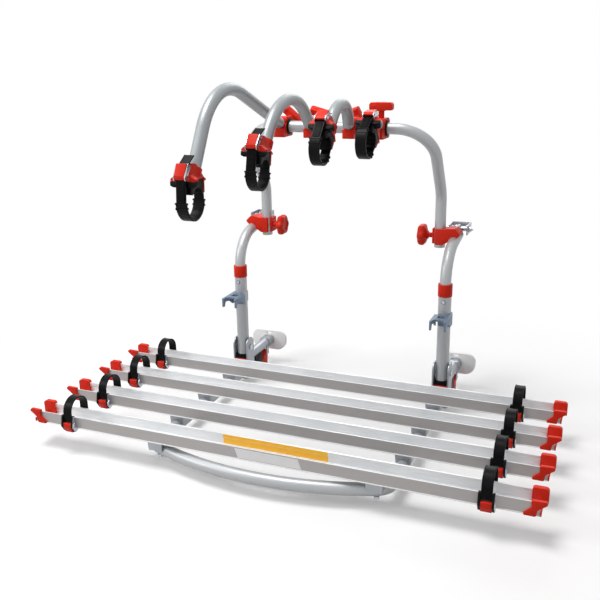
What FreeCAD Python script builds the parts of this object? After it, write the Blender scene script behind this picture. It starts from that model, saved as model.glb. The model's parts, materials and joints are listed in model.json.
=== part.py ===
import FreeCAD, Part
import math
import os

# Motorhome bike rack: four bicycle rails on a folding platform, two posts on the rear wall,
# a hoop above them and four arms with strap grips that hold the bicycle frames.
# Millimetres. The rear wall is the plane y = 0 and the rack reaches towards -y, +z is up.
# The origin lies on the wall, midway between the slots of the two lower wall pads.

doc = FreeCAD.newDocument("BikeRack")
sheet = doc.addObject("Spreadsheet::Sheet", "Sizes")

DRIVING = [
    # fits
    ("slide_fit", 0.05),
    ("side_gap", 0.3),
    # wall pads and post feet
    ("post_spacing", 607),
    ("slot_length", 17),
    ("slot_width", 7),
    ("pad_width", 116),
    ("pad_top", 8),
    ("pad_bottom", 55),
    ("pad_depth", 10),
    ("pad_corner", 31),
    ("pad_shoulder", 24),
    ("strut_drop", 22),
    ("strut_radius", 15),
    ("boss_radius", 19),
    ("boss_length", 34),
    ("boss_flat", 7),
    ("foot_width", 34),
    ("foot_depth", 36),
    ("foot_drop", 35),
    ("plug_height", 45),
    # posts
    ("post_reach", 194),
    ("lower_post_radius", 17.5),
    ("lower_post_top", 268),
    ("tube_radius", 15),
    ("tube_wall", 2),
    ("collar_bottom", 239),
    ("collar_top", 273),
    ("collar_wall", 1.7),
    ("post_screw_level", 226),
    ("upper_post_bottom", 120),
    ("bend_level", 270),
    ("bend_radius", 96),
    ("bend_angle", 80),
    ("run_length", 66),
    ("eye_thickness", 6),
    ("eye_radius", 12),
    # hooks that catch the folded platform
    ("hook_top", 192),
    ("hook_height", 32),
    ("hook_half_width", 22),
    ("hook_reach", 82),
    ("hook_lid", 6),
    ("hook_cheek", 4.5),
    ("hook_tip", 26),
    ("hook_window", 18),
    ("hook_mouth", 13),
    # upper wall brackets
    ("bracket_level", 389),
    ("bracket_width", 53),
    ("bracket_depth", 57),
    ("bracket_height", 26),
    ("bracket_sheet", 3),
    ("bracket_bolt_radius", 4),
    ("bracket_bolt_reach", 33),
    ("bracket_slot_length", 20),
    ("bracket_hole_spacing", 30),
    ("bracket_hole_radius", 4.25),
    # hoop and its clamps
    ("hoop_spacing", 522),
    ("hoop_reach", 88),
    ("hoop_bottom", 346),
    ("lean_level", 495),
    ("lean_radius", 80),
    ("bar_reach", 213),
    ("bar_level", 677),
    ("hoop_corner", 95),
    ("clamp_bottom", 356),
    ("clamp_top", 399),
    ("clamp_depth", 44),
    ("clamp_saddle_radius", 29),
    ("clamp_wall", 5),
    ("knob_level", 378),
    ("knob_radius", 31),
    ("knob_thickness", 24),
    ("knob_offset", 36),
    ("knob_stem_radius", 7),
    # platform
    ("hinge_level", 20),
    ("hinge_pin_radius", 5),
    ("fork_inside", 38),
    ("fork_sheet", 4),
    ("fork_depth", 46),
    ("fork_top", 50),
    ("fork_bottom", 77),
    ("frame_drop", 58),
    ("frame_back_reach", 173),
    ("bow_overhang", 22),
    ("bow_radius", 765),
    ("bow_corner", 40),
    ("first_rail_reach", 748),
    ("rail_pitch", 147.7),
    ("rail_length", 1256),
    ("rail_width", 56),
    ("rail_height", 30),
    ("rail_wall", 2.5),
    ("rail_bead_depth", 10),
    ("rail_bead_width", 5),
    ("rail_lip", 2),
    ("cap_end", 12),
    ("cap_grip", 34),
    ("cap_wall", 4),
    ("cap_rise", 6),
    ("cap_floor", 10),
    ("cap_ear_top", 30),
    ("cap_ear_foot", 27),
    ("cap_ear_lean", 20),
    ("saddle_length", 40),
    ("saddle_width", 46),
    ("rail_bolt_radius", 4),
    # straps on the rails
    ("strap_offset", 522),
    ("strap_width", 24),
    ("strap_thickness", 3),
    ("strap_stand_off", 4),
    ("strap_rise", 45),
    ("buckle_pin_drop", 20),
    ("buckle_pin_out", 8.5),
    ("buckle_pin_radius", 2.5),
    ("buckle_side", 5),
    ("buckle_plate", 1),
    ("buckle_depth", 15),
    ("buckle_hook", 9),
    ("rail_lever_length", 21),
    # arm clamps on the hoop's bar
    ("bush_wall", 3),
    ("bush_flange_radius", 20.5),
    ("bush_flange", 3.5),
    ("block_width", 30),
    ("block_front", 40),
    ("block_back", 26),
    ("block_below", 25),
    ("block_above", 26),
    ("block_split", 3),
    ("seat_reach", 249),
    ("seat_level", 690),
    ("handle_length", 61),
    ("handle_height", 20),
    ("handle_depth", 18),
    ("handle_neck", 19),
    ("handle_stem_radius", 7.5),
    ("handle_screw_radius", 4),
    # grips at the ends of the arms
    ("socket_radius", 18),
    ("socket_depth", 24),
    ("socket_lead", 12),
    ("socket_length", 16),
    ("head_width", 34),
    ("wing_width", 60),
    ("wing_depth", 15),
    ("jaw_width", 34),
    ("jaw_back", 26),
    ("loop_radius", 39.5),
    ("loop_centre_drop", 46),
    ("loop_centre_out", 6),
    ("band_thickness", 3.5),
    ("band_width", 24),
    ("head_pin_out", 42.5),
    ("head_pin_rise", 9),
    # release levers under the struts
    ("latch_reach", 92),
    ("latch_length", 50),
    ("latch_bottom", 66),
    ("latch_width", 26),
    ("release_reach", 56),
    ("release_drop", 46),
    ("release_length", 49),
    ("release_width", 25),
    ("release_pin_radius", 3),
]

# One row per arm: place along the bar, slope and radius of the rise from the clamp, height of the
# crest, radius and slope of the fall, straight run before the grip, turn and backward lean of the
# handle, distance, level and turn of the grip, length of the strap's tail.
ARMS = [
    ("arm_1", -144, 22, 174, 790, 150, 60, 82, 50, 64, 727.2, 610.9, 0, 33),
    ("arm_2", -58, 45, 140, 758, 165, 56, 2, 20, 60, 558.5, 652.9, -8, 33),
    ("arm_3", 50, 85, 52, 742, 95, 50, 2, 70, 70, 421.4, 686.8, -38, 16),
    ("arm_4", 127, 30, 20, 693, 20, 30, 1, 0, 0, 306, 680, -55, 16),
]
ARM_FIELDS = ("place", "rise", "rise_radius", "crest", "fall_radius", "fall", "run", "handle_turn", "handle_lean",
              "grip_reach", "grip_level", "grip_turn", "tail")

RAILS = ("rail_1", "rail_2", "rail_3", "rail_4")
SIDES = (("left", -1), ("right", 1))

cells = list(DRIVING)
for arm in ARMS:
    for field, value in zip(ARM_FIELDS, arm[1:]):
        cells.append((arm[0] + "_" + field, value))
for row, (alias, value) in enumerate(cells, start=1):
    sheet.set("A%d" % row, alias)
    sheet.set("B%d" % row, str(value))
    sheet.setAlias("B%d" % row, alias)
doc.recompute()


def size(alias):
    return float(getattr(sheet, alias))


def vec(x, y, z):
    return FreeCAD.Vector(x, y, z)


AXIS_X = vec(1, 0, 0)
AXIS_Y = vec(0, 1, 0)
AXIS_Z = vec(0, 0, 1)

# Places worked out from the sheet
POST_X = size("post_spacing") / 2
POST_Y = -size("post_reach")
HOOP_X = size("hoop_spacing") / 2
HOOP_Y = -size("hoop_reach")
BAR_Y = -size("bar_reach")
BAR_Z = size("bar_level")
HINGE_Z = size("hinge_level")
FRAME_Z = -size("frame_drop")
RAIL_BOTTOM = -size("rail_height")
TUBE = size("tube_radius")
FIT = size("slide_fit")
GAP = size("side_gap")


def bind(item, name, value):
    """Ties a property to the sheet when the value is an expression, else sets the number."""
    if isinstance(value, str):
        item.setExpression(name, value)
    else:
        setattr(item, name, value)


def place(item, at, turn=None):
    item.Placement = FreeCAD.Placement(at, turn or FreeCAD.Rotation())
    return item


def box(name, sizes, centre, turn=None):
    """A block with its sizes along x, y and z, placed by its centre."""
    item = doc.addObject("Part::Box", name)
    for prop, value in zip(("Length", "Width", "Height"), sizes):
        bind(item, prop, value)
    doc.recompute([item])
    half = vec(item.Length.Value / 2, item.Width.Value / 2, item.Height.Value / 2)
    rotation = turn or FreeCAD.Rotation()
    return place(item, centre - rotation.multVec(half), rotation)


def rod(name, radius, length, start, axis):
    """A cylinder from a start point along an axis."""
    item = doc.addObject("Part::Cylinder", name)
    bind(item, "Radius", radius)
    bind(item, "Height", length)
    return place(item, start, FreeCAD.Rotation(AXIS_Z, axis))


def ball(name, radius, centre):
    item = doc.addObject("Part::Sphere", name)
    bind(item, "Radius", radius)
    return place(item, centre)


def fuse(name, items):
    item = doc.addObject("Part::MultiFuse", name)
    item.Shapes = items
    return item


def cut(name, base, tools):
    item = doc.addObject("Part::Cut", name)
    item.Base = base
    item.Tool = tools[0] if len(tools) == 1 else fuse(name + "Tools", tools)
    return item


def common(name, items):
    item = doc.addObject("Part::MultiCommon", name)
    item.Shapes = items
    return item


def group(name, items):
    item = doc.addObject("Part::Compound", name)
    item.Links = items
    return item


def rounded(points):
    """Edges of a closed outline through (x, y, corner radius) points."""
    corners = []
    count = len(points)
    for i in range(count):
        x, y, radius = points[i]
        here = vec(x, y, 0)
        if radius <= 0:
            corners.append((here, here, None))
            continue
        back = vec(points[i - 1][0], points[i - 1][1], 0) - here
        ahead = vec(points[(i + 1) % count][0], points[(i + 1) % count][1], 0) - here
        back.normalize()
        ahead.normalize()
        half = back.getAngle(ahead) / 2
        reach = radius / math.tan(half)
        inward = back + ahead
        inward.normalize()
        middle = here + inward * (radius / math.sin(half) - radius)
        corners.append((here + back * reach, here + ahead * reach, middle))
    edges = []
    for i in range(count):
        start, end, middle = corners[i]
        if middle is not None:
            edges.append(Part.Arc(start, middle, end))
        following = corners[(i + 1) % count][0]
        if end.distanceToPoint(following) > 1e-6:
            edges.append(Part.LineSegment(end, following))
    return edges


def plate(name, plane, points, thickness, at, turn=None):
    """A body padded evenly to both sides of an origin plane from a rounded outline."""
    body = doc.addObject("PartDesign::Body", name)
    sketch = body.newObject("Sketcher::SketchObject", name + "Outline")
    support = [f for f in body.Origin.OriginFeatures if f.Role == plane][0]
    sketch.AttachmentSupport = (support, [""])
    sketch.MapMode = "FlatFace"
    for edge in rounded(points):
        if isinstance(edge, Part.Arc):
            circle = edge.toShape().Curve
            first, last = edge.toShape().ParameterRange
            sketch.addGeometry(Part.ArcOfCircle(circle, first, last), False)
        else:
            sketch.addGeometry(edge, False)
    pad = body.newObject("PartDesign::Pad", name + "Pad")
    pad.Profile = sketch
    pad.SideType = "Symmetric"
    bind(pad, "Length", thickness)
    body.Tip = pad
    return place(body, at, turn)


def bent(points):
    """An open path of straight runs joined by tangent arcs, through (point, radius) pairs."""
    edges = []
    start = points[0][0]
    for i in range(1, len(points) - 1):
        here, radius = points[i]
        back = points[i - 1][0] - here
        ahead = points[i + 1][0] - here
        back.normalize()
        ahead.normalize()
        half = back.getAngle(ahead) / 2
        reach = radius / math.tan(half)
        inward = back + ahead
        inward.normalize()
        first = here + back * reach
        middle = here + inward * (radius / math.sin(half) - radius)
        last = here + ahead * reach
        if start.distanceToPoint(first) > 1e-6:
            edges.append(Part.LineSegment(start, first).toShape())
        edges.append(Part.Arc(first, middle, last).toShape())
        start = last
    if start.distanceToPoint(points[-1][0]) > 1e-6:
        edges.append(Part.LineSegment(start, points[-1][0]).toShape())
    return Part.Wire(edges)


def swept(name, path, radius):
    """A round bar swept along a path."""
    first = path.Edges[0]
    start = first.valueAt(first.FirstParameter)
    along = first.tangentAt(first.FirstParameter)
    if path.OrderedVertexes[0].Point.distanceToPoint(start) > 1e-6:
        start = first.valueAt(first.LastParameter)
        along = first.tangentAt(first.LastParameter) * -1
    spine = doc.addObject("Part::Feature", name + "Path")
    spine.Shape = path
    section = doc.addObject("Part::Circle", name + "Section")
    bind(section, "Radius", radius)
    place(section, start, FreeCAD.Rotation(AXIS_Z, along))
    item = doc.addObject("Part::Sweep", name)
    item.Sections = [section]
    item.Spine = (spine, ["Edge%d" % (i + 1) for i in range(len(path.Edges))])
    item.Solid = True
    item.Frenet = False
    return item


def tube(name, path):
    """A round tube of the rack's stock along a path."""
    skin = swept(name + "Skin", path, "Sizes.tube_radius")
    core = swept(name + "Core", path, "Sizes.tube_radius - Sizes.tube_wall")
    return cut(name, skin, [core])


def bolt(name, radius, length, start, axis, head_radius, head_height, nut=False):
    """A round-headed bolt whose head sits before the start point; a nut may close its end."""
    direction = vec(axis.x, axis.y, axis.z)
    shank = rod(name + "Shank", radius, length, start, direction)
    head = rod(name + "Head", head_radius, head_height, start - direction * head_height, direction)
    parts = [shank, head]
    if nut:
        end = start + direction * length
        parts.append(rod(name + "Nut", head_radius, head_height, end - direction * head_height, direction))
    return fuse(name, parts)


NODES = {}


def node(name, item):
    """Names a finished sub-part."""
    item.Label = name
    NODES[name] = item


# Wall pads: plastic plates with a slot each, held to the wall by one bolt

def wall_pads():
    pads = []
    half = size("pad_width") / 2
    top = size("pad_top")
    low = -size("pad_bottom")
    corner = size("pad_corner")
    depth = size("pad_depth")
    for side, sign in SIDES:
        shoulder = size("pad_shoulder")
        outline = [(-half, low, corner), (half, low, corner), (half, top, shoulder), (-half, top, shoulder)]
        pad = plate("Pad" + side, "XZ_Plane", outline, "Sizes.pad_depth",
                    vec(sign * POST_X, -depth / 2, 0))
        straight = (size("slot_length") - size("slot_width")) / 2
        slot = [rod("PadSlot%s%d" % (side, end), "Sizes.slot_width / 2", "Sizes.pad_depth * 2",
                    vec(sign * POST_X + end * straight, depth / 2, 0), AXIS_Y * -1) for end in (-1, 1)]
        slot.append(box("PadSlotMiddle" + side,
                        ("Sizes.slot_length - Sizes.slot_width", "Sizes.pad_depth * 2", "Sizes.slot_width"),
                        vec(sign * POST_X, -depth / 2, 0)))
        pads.append(cut("PadDone" + side, pad, slot))
    node("wall_pads", group("WallPads", pads))


# Post feet: a plug inside each lower post, a block below it and a strut back to the pad

def post_feet():
    feet = []
    strut_z = -size("strut_drop")
    depth = size("foot_depth")
    pad_face = -size("pad_depth")
    boss_start = pad_face - size("boss_length")
    ear_drop = size("release_drop")
    for side, sign in SIDES:
        x = sign * POST_X
        plug = rod("Plug" + side, "Sizes.tube_radius", "Sizes.plug_height + Sizes.foot_drop",
                   vec(x, POST_Y, -size("foot_drop")), AXIS_Z)
        block = box("Foot" + side, ("Sizes.foot_width", "Sizes.foot_depth", "Sizes.foot_drop"),
                    vec(x, POST_Y, -size("foot_drop") / 2))
        strut = rod("Strut" + side, "Sizes.strut_radius", boss_start - POST_Y,
                    vec(x, POST_Y, strut_z), AXIS_Y)
        boss = rod("Boss" + side, "Sizes.boss_radius", "Sizes.boss_length",
                   vec(x, boss_start, strut_z), AXIS_Y)
        shave = box("BossShave" + side, (4 * size("boss_radius"), 2 * size("boss_length"), depth),
                    vec(x, boss_start + size("boss_length") / 2, -size("boss_flat") + depth / 2))
        boss_done = cut("BossDone" + side, boss, [shave])
        ears = []
        reach = -size("release_reach")
        ear_out = size("release_width") / 2 + GAP + 1.5
        ear_low = -ear_drop - 3 * size("release_pin_radius")
        for edge in (-1, 1):
            ears.append(box("Ear%s%d" % (side, edge), (3, 16, strut_z - ear_low),
                            vec(x + edge * ear_out, reach, (strut_z + ear_low) / 2)))
        hole = rod("PivotHole" + side, "Sizes.hinge_pin_radius", 4 * TUBE,
                   vec(x - 2 * TUBE, POST_Y, HINGE_Z), AXIS_X)
        lever_hole = rod("LeverHole" + side, "Sizes.release_pin_radius + Sizes.slide_fit", 4 * TUBE,
                         vec(x - 2 * TUBE, reach, -ear_drop), AXIS_X)
        body = fuse("FootBody" + side, [plug, block, strut, boss_done] + ears)
        feet.append(cut("FootDone" + side, body, [hole, lever_hole]))
    node("post_feet", group("PostFeet", feet))


# Lower posts, collars, screws and hinge pins

def lower_posts():
    posts = []
    collars = []
    fasteners = []
    for side, sign in SIDES:
        x = sign * POST_X
        top = size("lower_post_top")
        skin = rod("LowerSkin" + side, "Sizes.lower_post_radius", "Sizes.lower_post_top",
                   vec(x, POST_Y, 0), AXIS_Z)
        bore = rod("LowerBore" + side, "Sizes.tube_radius + Sizes.slide_fit", "Sizes.lower_post_top",
                   vec(x, POST_Y, 0), AXIS_Z)
        hole = rod("LowerPivotHole" + side, "Sizes.hinge_pin_radius", 4 * TUBE,
                   vec(x - 2 * TUBE, POST_Y, HINGE_Z), AXIS_X)
        screw_hole = rod("ScrewHole" + side, 2.5, TUBE * 2,
                         vec(x, POST_Y, size("post_screw_level")), AXIS_Y * -1)
        posts.append(cut("LowerPost" + side, skin, [bore, hole, screw_hole]))
        ring = rod("CollarRing" + side, "Sizes.lower_post_radius + Sizes.collar_wall",
                   "Sizes.collar_top - Sizes.collar_bottom", vec(x, POST_Y, size("collar_bottom")), AXIS_Z)
        seat = rod("CollarSeat" + side, "Sizes.lower_post_radius",
                   "Sizes.lower_post_top - Sizes.collar_bottom", vec(x, POST_Y, size("collar_bottom")), AXIS_Z)
        mouth = rod("CollarMouth" + side, "Sizes.tube_radius + Sizes.slide_fit",
                    "Sizes.collar_top - Sizes.collar_bottom", vec(x, POST_Y, size("collar_bottom")), AXIS_Z)
        collars.append(cut("Collar" + side, ring, [seat, mouth]))
        skin_y = POST_Y - size("lower_post_radius")
        wall = size("lower_post_radius") - TUBE
        fasteners.append(bolt("PostScrew" + side, 2.5, wall - FIT, vec(x, skin_y, size("post_screw_level")),
                              AXIS_Y, 4, 2))
        half = size("fork_inside") / 2 + size("fork_sheet") + GAP
        fasteners.append(bolt("HingePin" + side, "Sizes.hinge_pin_radius", 2 * half + 3,
                              vec(x - half, POST_Y, HINGE_Z), AXIS_X, 8, 3, nut=True))
    node("lower_posts", group("LowerPosts", posts))
    node("post_collars", group("PostCollars", collars))
    node("post_fasteners", group("PostFasteners", fasteners))


# Cast hooks: a clip round each lower post, a lid and two cheeks that hold the folded frame between them

def frame_hooks():
    hooks = []
    top = size("hook_top")
    height = size("hook_height")
    half = size("hook_half_width")
    reach = size("hook_reach")
    tip = size("hook_tip")
    cheek = size("hook_cheek")
    lid_sheet = size("hook_lid")
    mouth_in = size("hook_mouth")
    folded = POST_Y - (HINGE_Z - FRAME_Z)
    window_y = POST_Y - 2 * size("lower_post_radius") - 5
    for side, sign in SIDES:
        x = sign * POST_X
        low = top - 1.5 * height
        ring = rod("HookRing" + side, "Sizes.hook_half_width", "Sizes.hook_height",
                   vec(x, POST_Y, top - height), AXIS_Z)
        lid = box("HookLid" + side, ("2 * Sizes.hook_half_width", "Sizes.hook_reach", "Sizes.hook_lid"),
                  vec(x, POST_Y - reach / 2, top - lid_sheet / 2))
        outline = [(0, -height, 0), (0, 0, 0), (-reach + 4, 0, 3), (-reach, -8, 4), (-reach, -tip, 2),
                   (-reach + 9, -tip, 2), (-reach + 14, -tip / 2, 5), (-reach / 2, -18, 8), (-half, -height, 3)]
        cheeks = [plate("HookCheek%s%d" % (side, edge), "YZ_Plane", outline, "Sizes.hook_cheek",
                        vec(x + edge * (half - cheek / 2), POST_Y, top)) for edge in (-1, 1)]
        bore = rod("HookBore" + side, "Sizes.lower_post_radius", "2 * Sizes.hook_height",
                   vec(x, POST_Y, low), AXIS_Z)
        notch = rod("HookNotch" + side, "Sizes.tube_radius + 1", "2 * Sizes.hook_height",
                    vec(x, folded, low), AXIS_Z)
        window = box("HookWindow" + side, ("Sizes.hook_window", "Sizes.hook_window", "3 * Sizes.hook_lid"),
                     vec(x, window_y, top))
        mouth = box("HookMouth" + side, (half, 2 * half, 2 * height),
                    vec(x - sign * (mouth_in + half / 2), POST_Y + 2, top - height / 2))
        hooks.append(cut("Hook" + side, fuse("HookBody" + side, [ring, lid] + cheeks),
                         [bore, notch, window, mouth]))
    node("frame_hooks", group("FrameHooks", hooks))


# Upper posts: tubes that slide in the lower posts, bend back and end in flat eyes

def post_path(sign):
    x = sign * POST_X
    angle = math.radians(size("bend_angle"))
    radius = size("bend_radius")
    reach = radius * math.tan(angle / 2)
    corner = vec(x, POST_Y, size("bend_level") + reach)
    along = vec(0, math.sin(angle), math.cos(angle))
    end = corner + along * (reach + size("run_length"))
    return bent([(vec(x, POST_Y, size("upper_post_bottom")), 0), (corner, radius), (end, 0)]), end, along


def upper_posts():
    posts = []
    bolt_y = -size("bracket_bolt_reach")
    bolt_z = size("bracket_level")
    for side, sign in SIDES:
        x = sign * POST_X
        path, end, along = post_path(sign)
        stock = tube("UpperTube" + side, path)
        radius = size("eye_radius")
        inner = TUBE - size("tube_wall")
        root = end - along * 26
        lift = vec(0, -along.z, along.y)
        corners = [root + lift * inner, root - lift * inner]
        outline = [(corners[1].y, corners[1].z, 0), (bolt_y + radius * 0.7, bolt_z - radius, radius * 0.55),
                   (bolt_y + radius, bolt_z + radius, radius * 0.9),
                   (bolt_y - radius * 1.2, bolt_z + radius, radius * 0.8), (corners[0].y, corners[0].z, 0)]
        eye = plate("Eye" + side, "YZ_Plane", outline, "Sizes.eye_thickness", vec(x, 0, 0))
        hole = rod("EyeHole" + side, "Sizes.bracket_bolt_radius + Sizes.slide_fit", "Sizes.eye_thickness * 2",
                   vec(x - size("eye_thickness"), bolt_y, bolt_z), AXIS_X)
        posts.append(cut("UpperPost" + side, fuse("UpperBody" + side, [stock, eye]), [hole]))
    node("upper_posts", group("UpperPosts", posts))


# Upper wall brackets: bent sheet with two ears and a back plate, and their bolts

def upper_brackets():
    brackets = []
    bolts = []
    sheet_t = size("bracket_sheet")
    width = size("bracket_width")
    depth = size("bracket_depth")
    level = size("bracket_level")
    bolt_y = -size("bracket_bolt_reach")
    for side, sign in SIDES:
        x = sign * POST_X
        back = box("BracketBack" + side, ("Sizes.bracket_width", "Sizes.bracket_sheet", "Sizes.bracket_height"),
                   vec(x, -sheet_t / 2, level))
        ears = [box("BracketEar%s%d" % (side, edge),
                    ("Sizes.bracket_sheet", "Sizes.bracket_depth", "Sizes.bracket_height"),
                    vec(x + edge * (width - sheet_t) / 2, -depth / 2, level)) for edge in (-1, 1)]
        slot_half = size("bracket_slot_length") / 2 - size("bracket_bolt_radius")
        slots = [rod("BracketSlot%s%d" % (side, end), "Sizes.bracket_bolt_radius + Sizes.slide_fit",
                     "Sizes.bracket_width * 2", vec(x - width, bolt_y + end * slot_half, level), AXIS_X)
                 for end in (-1, 1)]
        slots.append(box("BracketSlotMiddle" + side, ("Sizes.bracket_width * 2", 2 * slot_half,
                     "2 * (Sizes.bracket_bolt_radius + Sizes.slide_fit)"), vec(x, bolt_y, level)))
        for edge in (-1, 1):
            slots.append(rod("WallHole%s%d" % (side, edge), "Sizes.bracket_hole_radius",
                             "Sizes.bracket_sheet * 4",
                             vec(x + edge * size("bracket_hole_spacing") / 2, -sheet_t * 2, level), AXIS_Y))
        brackets.append(cut("Bracket" + side, fuse("BracketBody" + side, [back] + ears), slots))
        bolts.append(bolt("BracketBolt" + side, "Sizes.bracket_bolt_radius", width + 11,
                          vec(x - width / 2, bolt_y, level), AXIS_X, 7.5, 5, nut=False))
        bolts.append(cut("BracketNut" + side,
                         rod("NutBody" + side, 7.5, 7, vec(x + width / 2, bolt_y, level), AXIS_X),
                         [rod("NutBore" + side, "Sizes.bracket_bolt_radius", 9,
                              vec(x + width / 2 - 1, bolt_y, level), AXIS_X)]))
        spacer = (width / 2 - sheet_t) - size("eye_thickness") / 2
        for edge in (-1, 1):
            start = x + edge * size("eye_thickness") / 2
            bolts.append(cut("Spacer%s%d" % (side, edge),
                             rod("SpacerBody%s%d" % (side, edge), 7, spacer,
                                 vec(start, bolt_y, level), AXIS_X * edge),
                             [rod("SpacerBore%s%d" % (side, edge), "Sizes.bracket_bolt_radius", spacer,
                                  vec(start, bolt_y, level), AXIS_X * edge)]))
    node("upper_brackets", group("UpperBrackets", brackets))
    node("bracket_bolts", group("BracketBolts", bolts))


# Leg clamps join the sloping run of each upper post to a hoop leg; a knob tightens each

def leg_clamps():
    clamps = []
    bottom = size("clamp_bottom")
    top = size("clamp_top")
    depth = size("clamp_depth")
    wall = size("clamp_wall")
    saddle = size("clamp_saddle_radius")
    for side, sign in SIDES:
        leg_x = sign * HOOP_X
        x = sign * POST_X
        path, end, along = post_path(sign)
        inner = leg_x - sign * (TUBE + wall)
        run_z = end.z + (HOOP_Y - end.y) * along.z / along.y
        outline = [(inner, bottom, 3), (leg_x + sign * (TUBE - 4), bottom, 4),
                   (x - sign * 6, run_z + 2, 6), (x + sign * (saddle - 18), run_z + 11, 2),
                   (x + sign * (saddle - 12), run_z + 19, 3),
                   (x + sign * 2, run_z + saddle + 5, 10), (x - sign * (saddle - 12), run_z + saddle + 4, 8),
                   (leg_x + sign * (TUBE + 2), top, 8), (inner, top, 3)]
        block = plate("ClampBlock" + side, "XZ_Plane", outline, "Sizes.clamp_depth", vec(0, HOOP_Y, 0))
        bore = rod("ClampBore" + side, "Sizes.tube_radius + Sizes.slide_fit", 200,
                   vec(leg_x, HOOP_Y, bottom - 60), AXIS_Z)
        post = swept("ClampPost" + side, path, "Sizes.tube_radius + Sizes.slide_fit")
        window = box("ClampWindow" + side, (wall + 8, depth / 2, top - bottom + 20),
                     vec(inner + sign * (wall + 4) / 2, HOOP_Y - 8 - depth / 4, (top + bottom) / 2))
        hole = rod("KnobHole" + side, "Sizes.knob_stem_radius + Sizes.slide_fit", 3 * wall,
                   vec(leg_x - sign * 3.5 * wall, HOOP_Y, size("knob_level")), AXIS_X * -sign)
        stem_hole = rod("KnobThread" + side, "Sizes.knob_stem_radius + Sizes.slide_fit", TUBE + 2 * wall,
                        vec(leg_x, HOOP_Y, size("knob_level")), AXIS_X * -sign)
        eye_gap = box("ClampEye" + side, ("Sizes.eye_thickness + 2 * Sizes.slide_fit", depth / 2, 2 * saddle),
                      vec(x, HOOP_Y + depth / 2, run_z + saddle))
        clamps.append(cut("Clamp" + side, block, [bore, post, window, hole, stem_hole, eye_gap]))
    node("leg_clamps", group("LegClamps", clamps))


def leg_knobs():
    lobes = 6
    for side, sign in SIDES:
        leg_x = sign * HOOP_X
        level = size("knob_level")
        tip = leg_x - sign * (TUBE + GAP)
        face = leg_x - sign * size("knob_offset")
        stem = rod("KnobStem" + side, "Sizes.knob_stem_radius", abs(tip - face), vec(tip, HOOP_Y, level),
                   AXIS_X * -sign)
        head = rod("KnobHead" + side, "Sizes.knob_radius", "Sizes.knob_thickness", vec(face, HOOP_Y, level),
                   AXIS_X * -sign)
        notches = []
        for i in range(lobes):
            angle = 2 * math.pi * i / lobes
            out = size("knob_radius") * 1.32
            at = vec(face + sign, HOOP_Y + out * math.sin(angle), level + out * math.cos(angle))
            notches.append(rod("KnobNotch%s%d" % (side, i), "Sizes.knob_radius * 0.45",
                               "Sizes.knob_thickness + 2", at, AXIS_X * -sign))
        grip = cut("KnobGrip" + side, head, notches)
        node("leg_knob_" + side, fuse("LegKnob" + side, [stem, grip]))


# Hoop: one tube whose legs stand in the clamps, lean forward and meet in the bar

def hoop():
    lean = vec(0, BAR_Y - HOOP_Y, BAR_Z - size("lean_level"))
    points = []
    for sign in (-1, 1):
        leg = [(vec(sign * HOOP_X, HOOP_Y, size("hoop_bottom")), 0),
               (vec(sign * HOOP_X, HOOP_Y, size("lean_level")), size("lean_radius")),
               (vec(sign * HOOP_X, HOOP_Y, size("lean_level")) + lean, size("hoop_corner"))]
        points += leg if sign < 0 else leg[::-1]
    node("hoop", tube("Hoop", bent(points)))


# Platform frame: one tube bent round the front, with forks at its ends

def frame_touch():
    """Where the big front arc meets the small corner arc on the right."""
    centre_y = -size("first_rail_reach") - size("bow_overhang") + size("bow_radius")
    spread = math.asin((POST_X - size("bow_corner")) / (size("bow_radius") - size("bow_corner")))
    radius = size("bow_radius")
    return vec(radius * math.sin(spread), centre_y - radius * math.cos(spread), FRAME_Z), spread


def frame_path():
    touch, spread = frame_touch()
    small = size("bow_corner")
    front = -size("first_rail_reach") - size("bow_overhang")
    corner = vec(POST_X - small, touch.y + small * math.cos(spread), FRAME_Z)
    half = (math.pi / 2 + spread) / 2
    bulge = corner + vec(small * math.sin(half), -small * math.cos(half), 0)
    ends = [vec(POST_X, -size("frame_back_reach"), FRAME_Z), vec(POST_X, corner.y, FRAME_Z)]

    def mirrored(point):
        return vec(-point.x, point.y, point.z)

    return Part.Wire([
        Part.LineSegment(mirrored(ends[0]), mirrored(ends[1])).toShape(),
        Part.Arc(mirrored(ends[1]), mirrored(bulge), mirrored(touch)).toShape(),
        Part.Arc(mirrored(touch), vec(0, front, FRAME_Z), touch).toShape(),
        Part.Arc(touch, bulge, ends[1]).toShape(),
        Part.LineSegment(ends[1], ends[0]).toShape(),
    ])


def platform_frame():
    frame = tube("FrameTube", frame_path())
    holes = []
    for side, sign in SIDES:
        for k in range(len(RAILS)):
            holes.append(rod("FrameHole%s%d" % (side, k), "Sizes.rail_bolt_radius", 4 * TUBE,
                             vec(sign * saddle_x(k), rail_middle(k), FRAME_Z - 2 * TUBE), AXIS_Z))
        holes.append(rod("FrameForkHole" + side, "Sizes.rail_bolt_radius", 4 * TUBE,
                         vec(sign * POST_X - 2 * TUBE, POST_Y, FRAME_Z), AXIS_X))
    node("platform_frame", cut("PlatformFrame", frame, holes))


def rail_front(k):
    """Outer face of a rail's front wall; rail 0 is the farthest from the wall."""
    return -size("first_rail_reach") + k * size("rail_pitch")


def rail_middle(k):
    return rail_front(k) + size("rail_width") / 2


def saddle_x(k):
    """Rails sit over the frame's legs, and the front rail where the big arc begins."""
    return frame_touch()[0].x if k == 0 else POST_X


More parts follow.
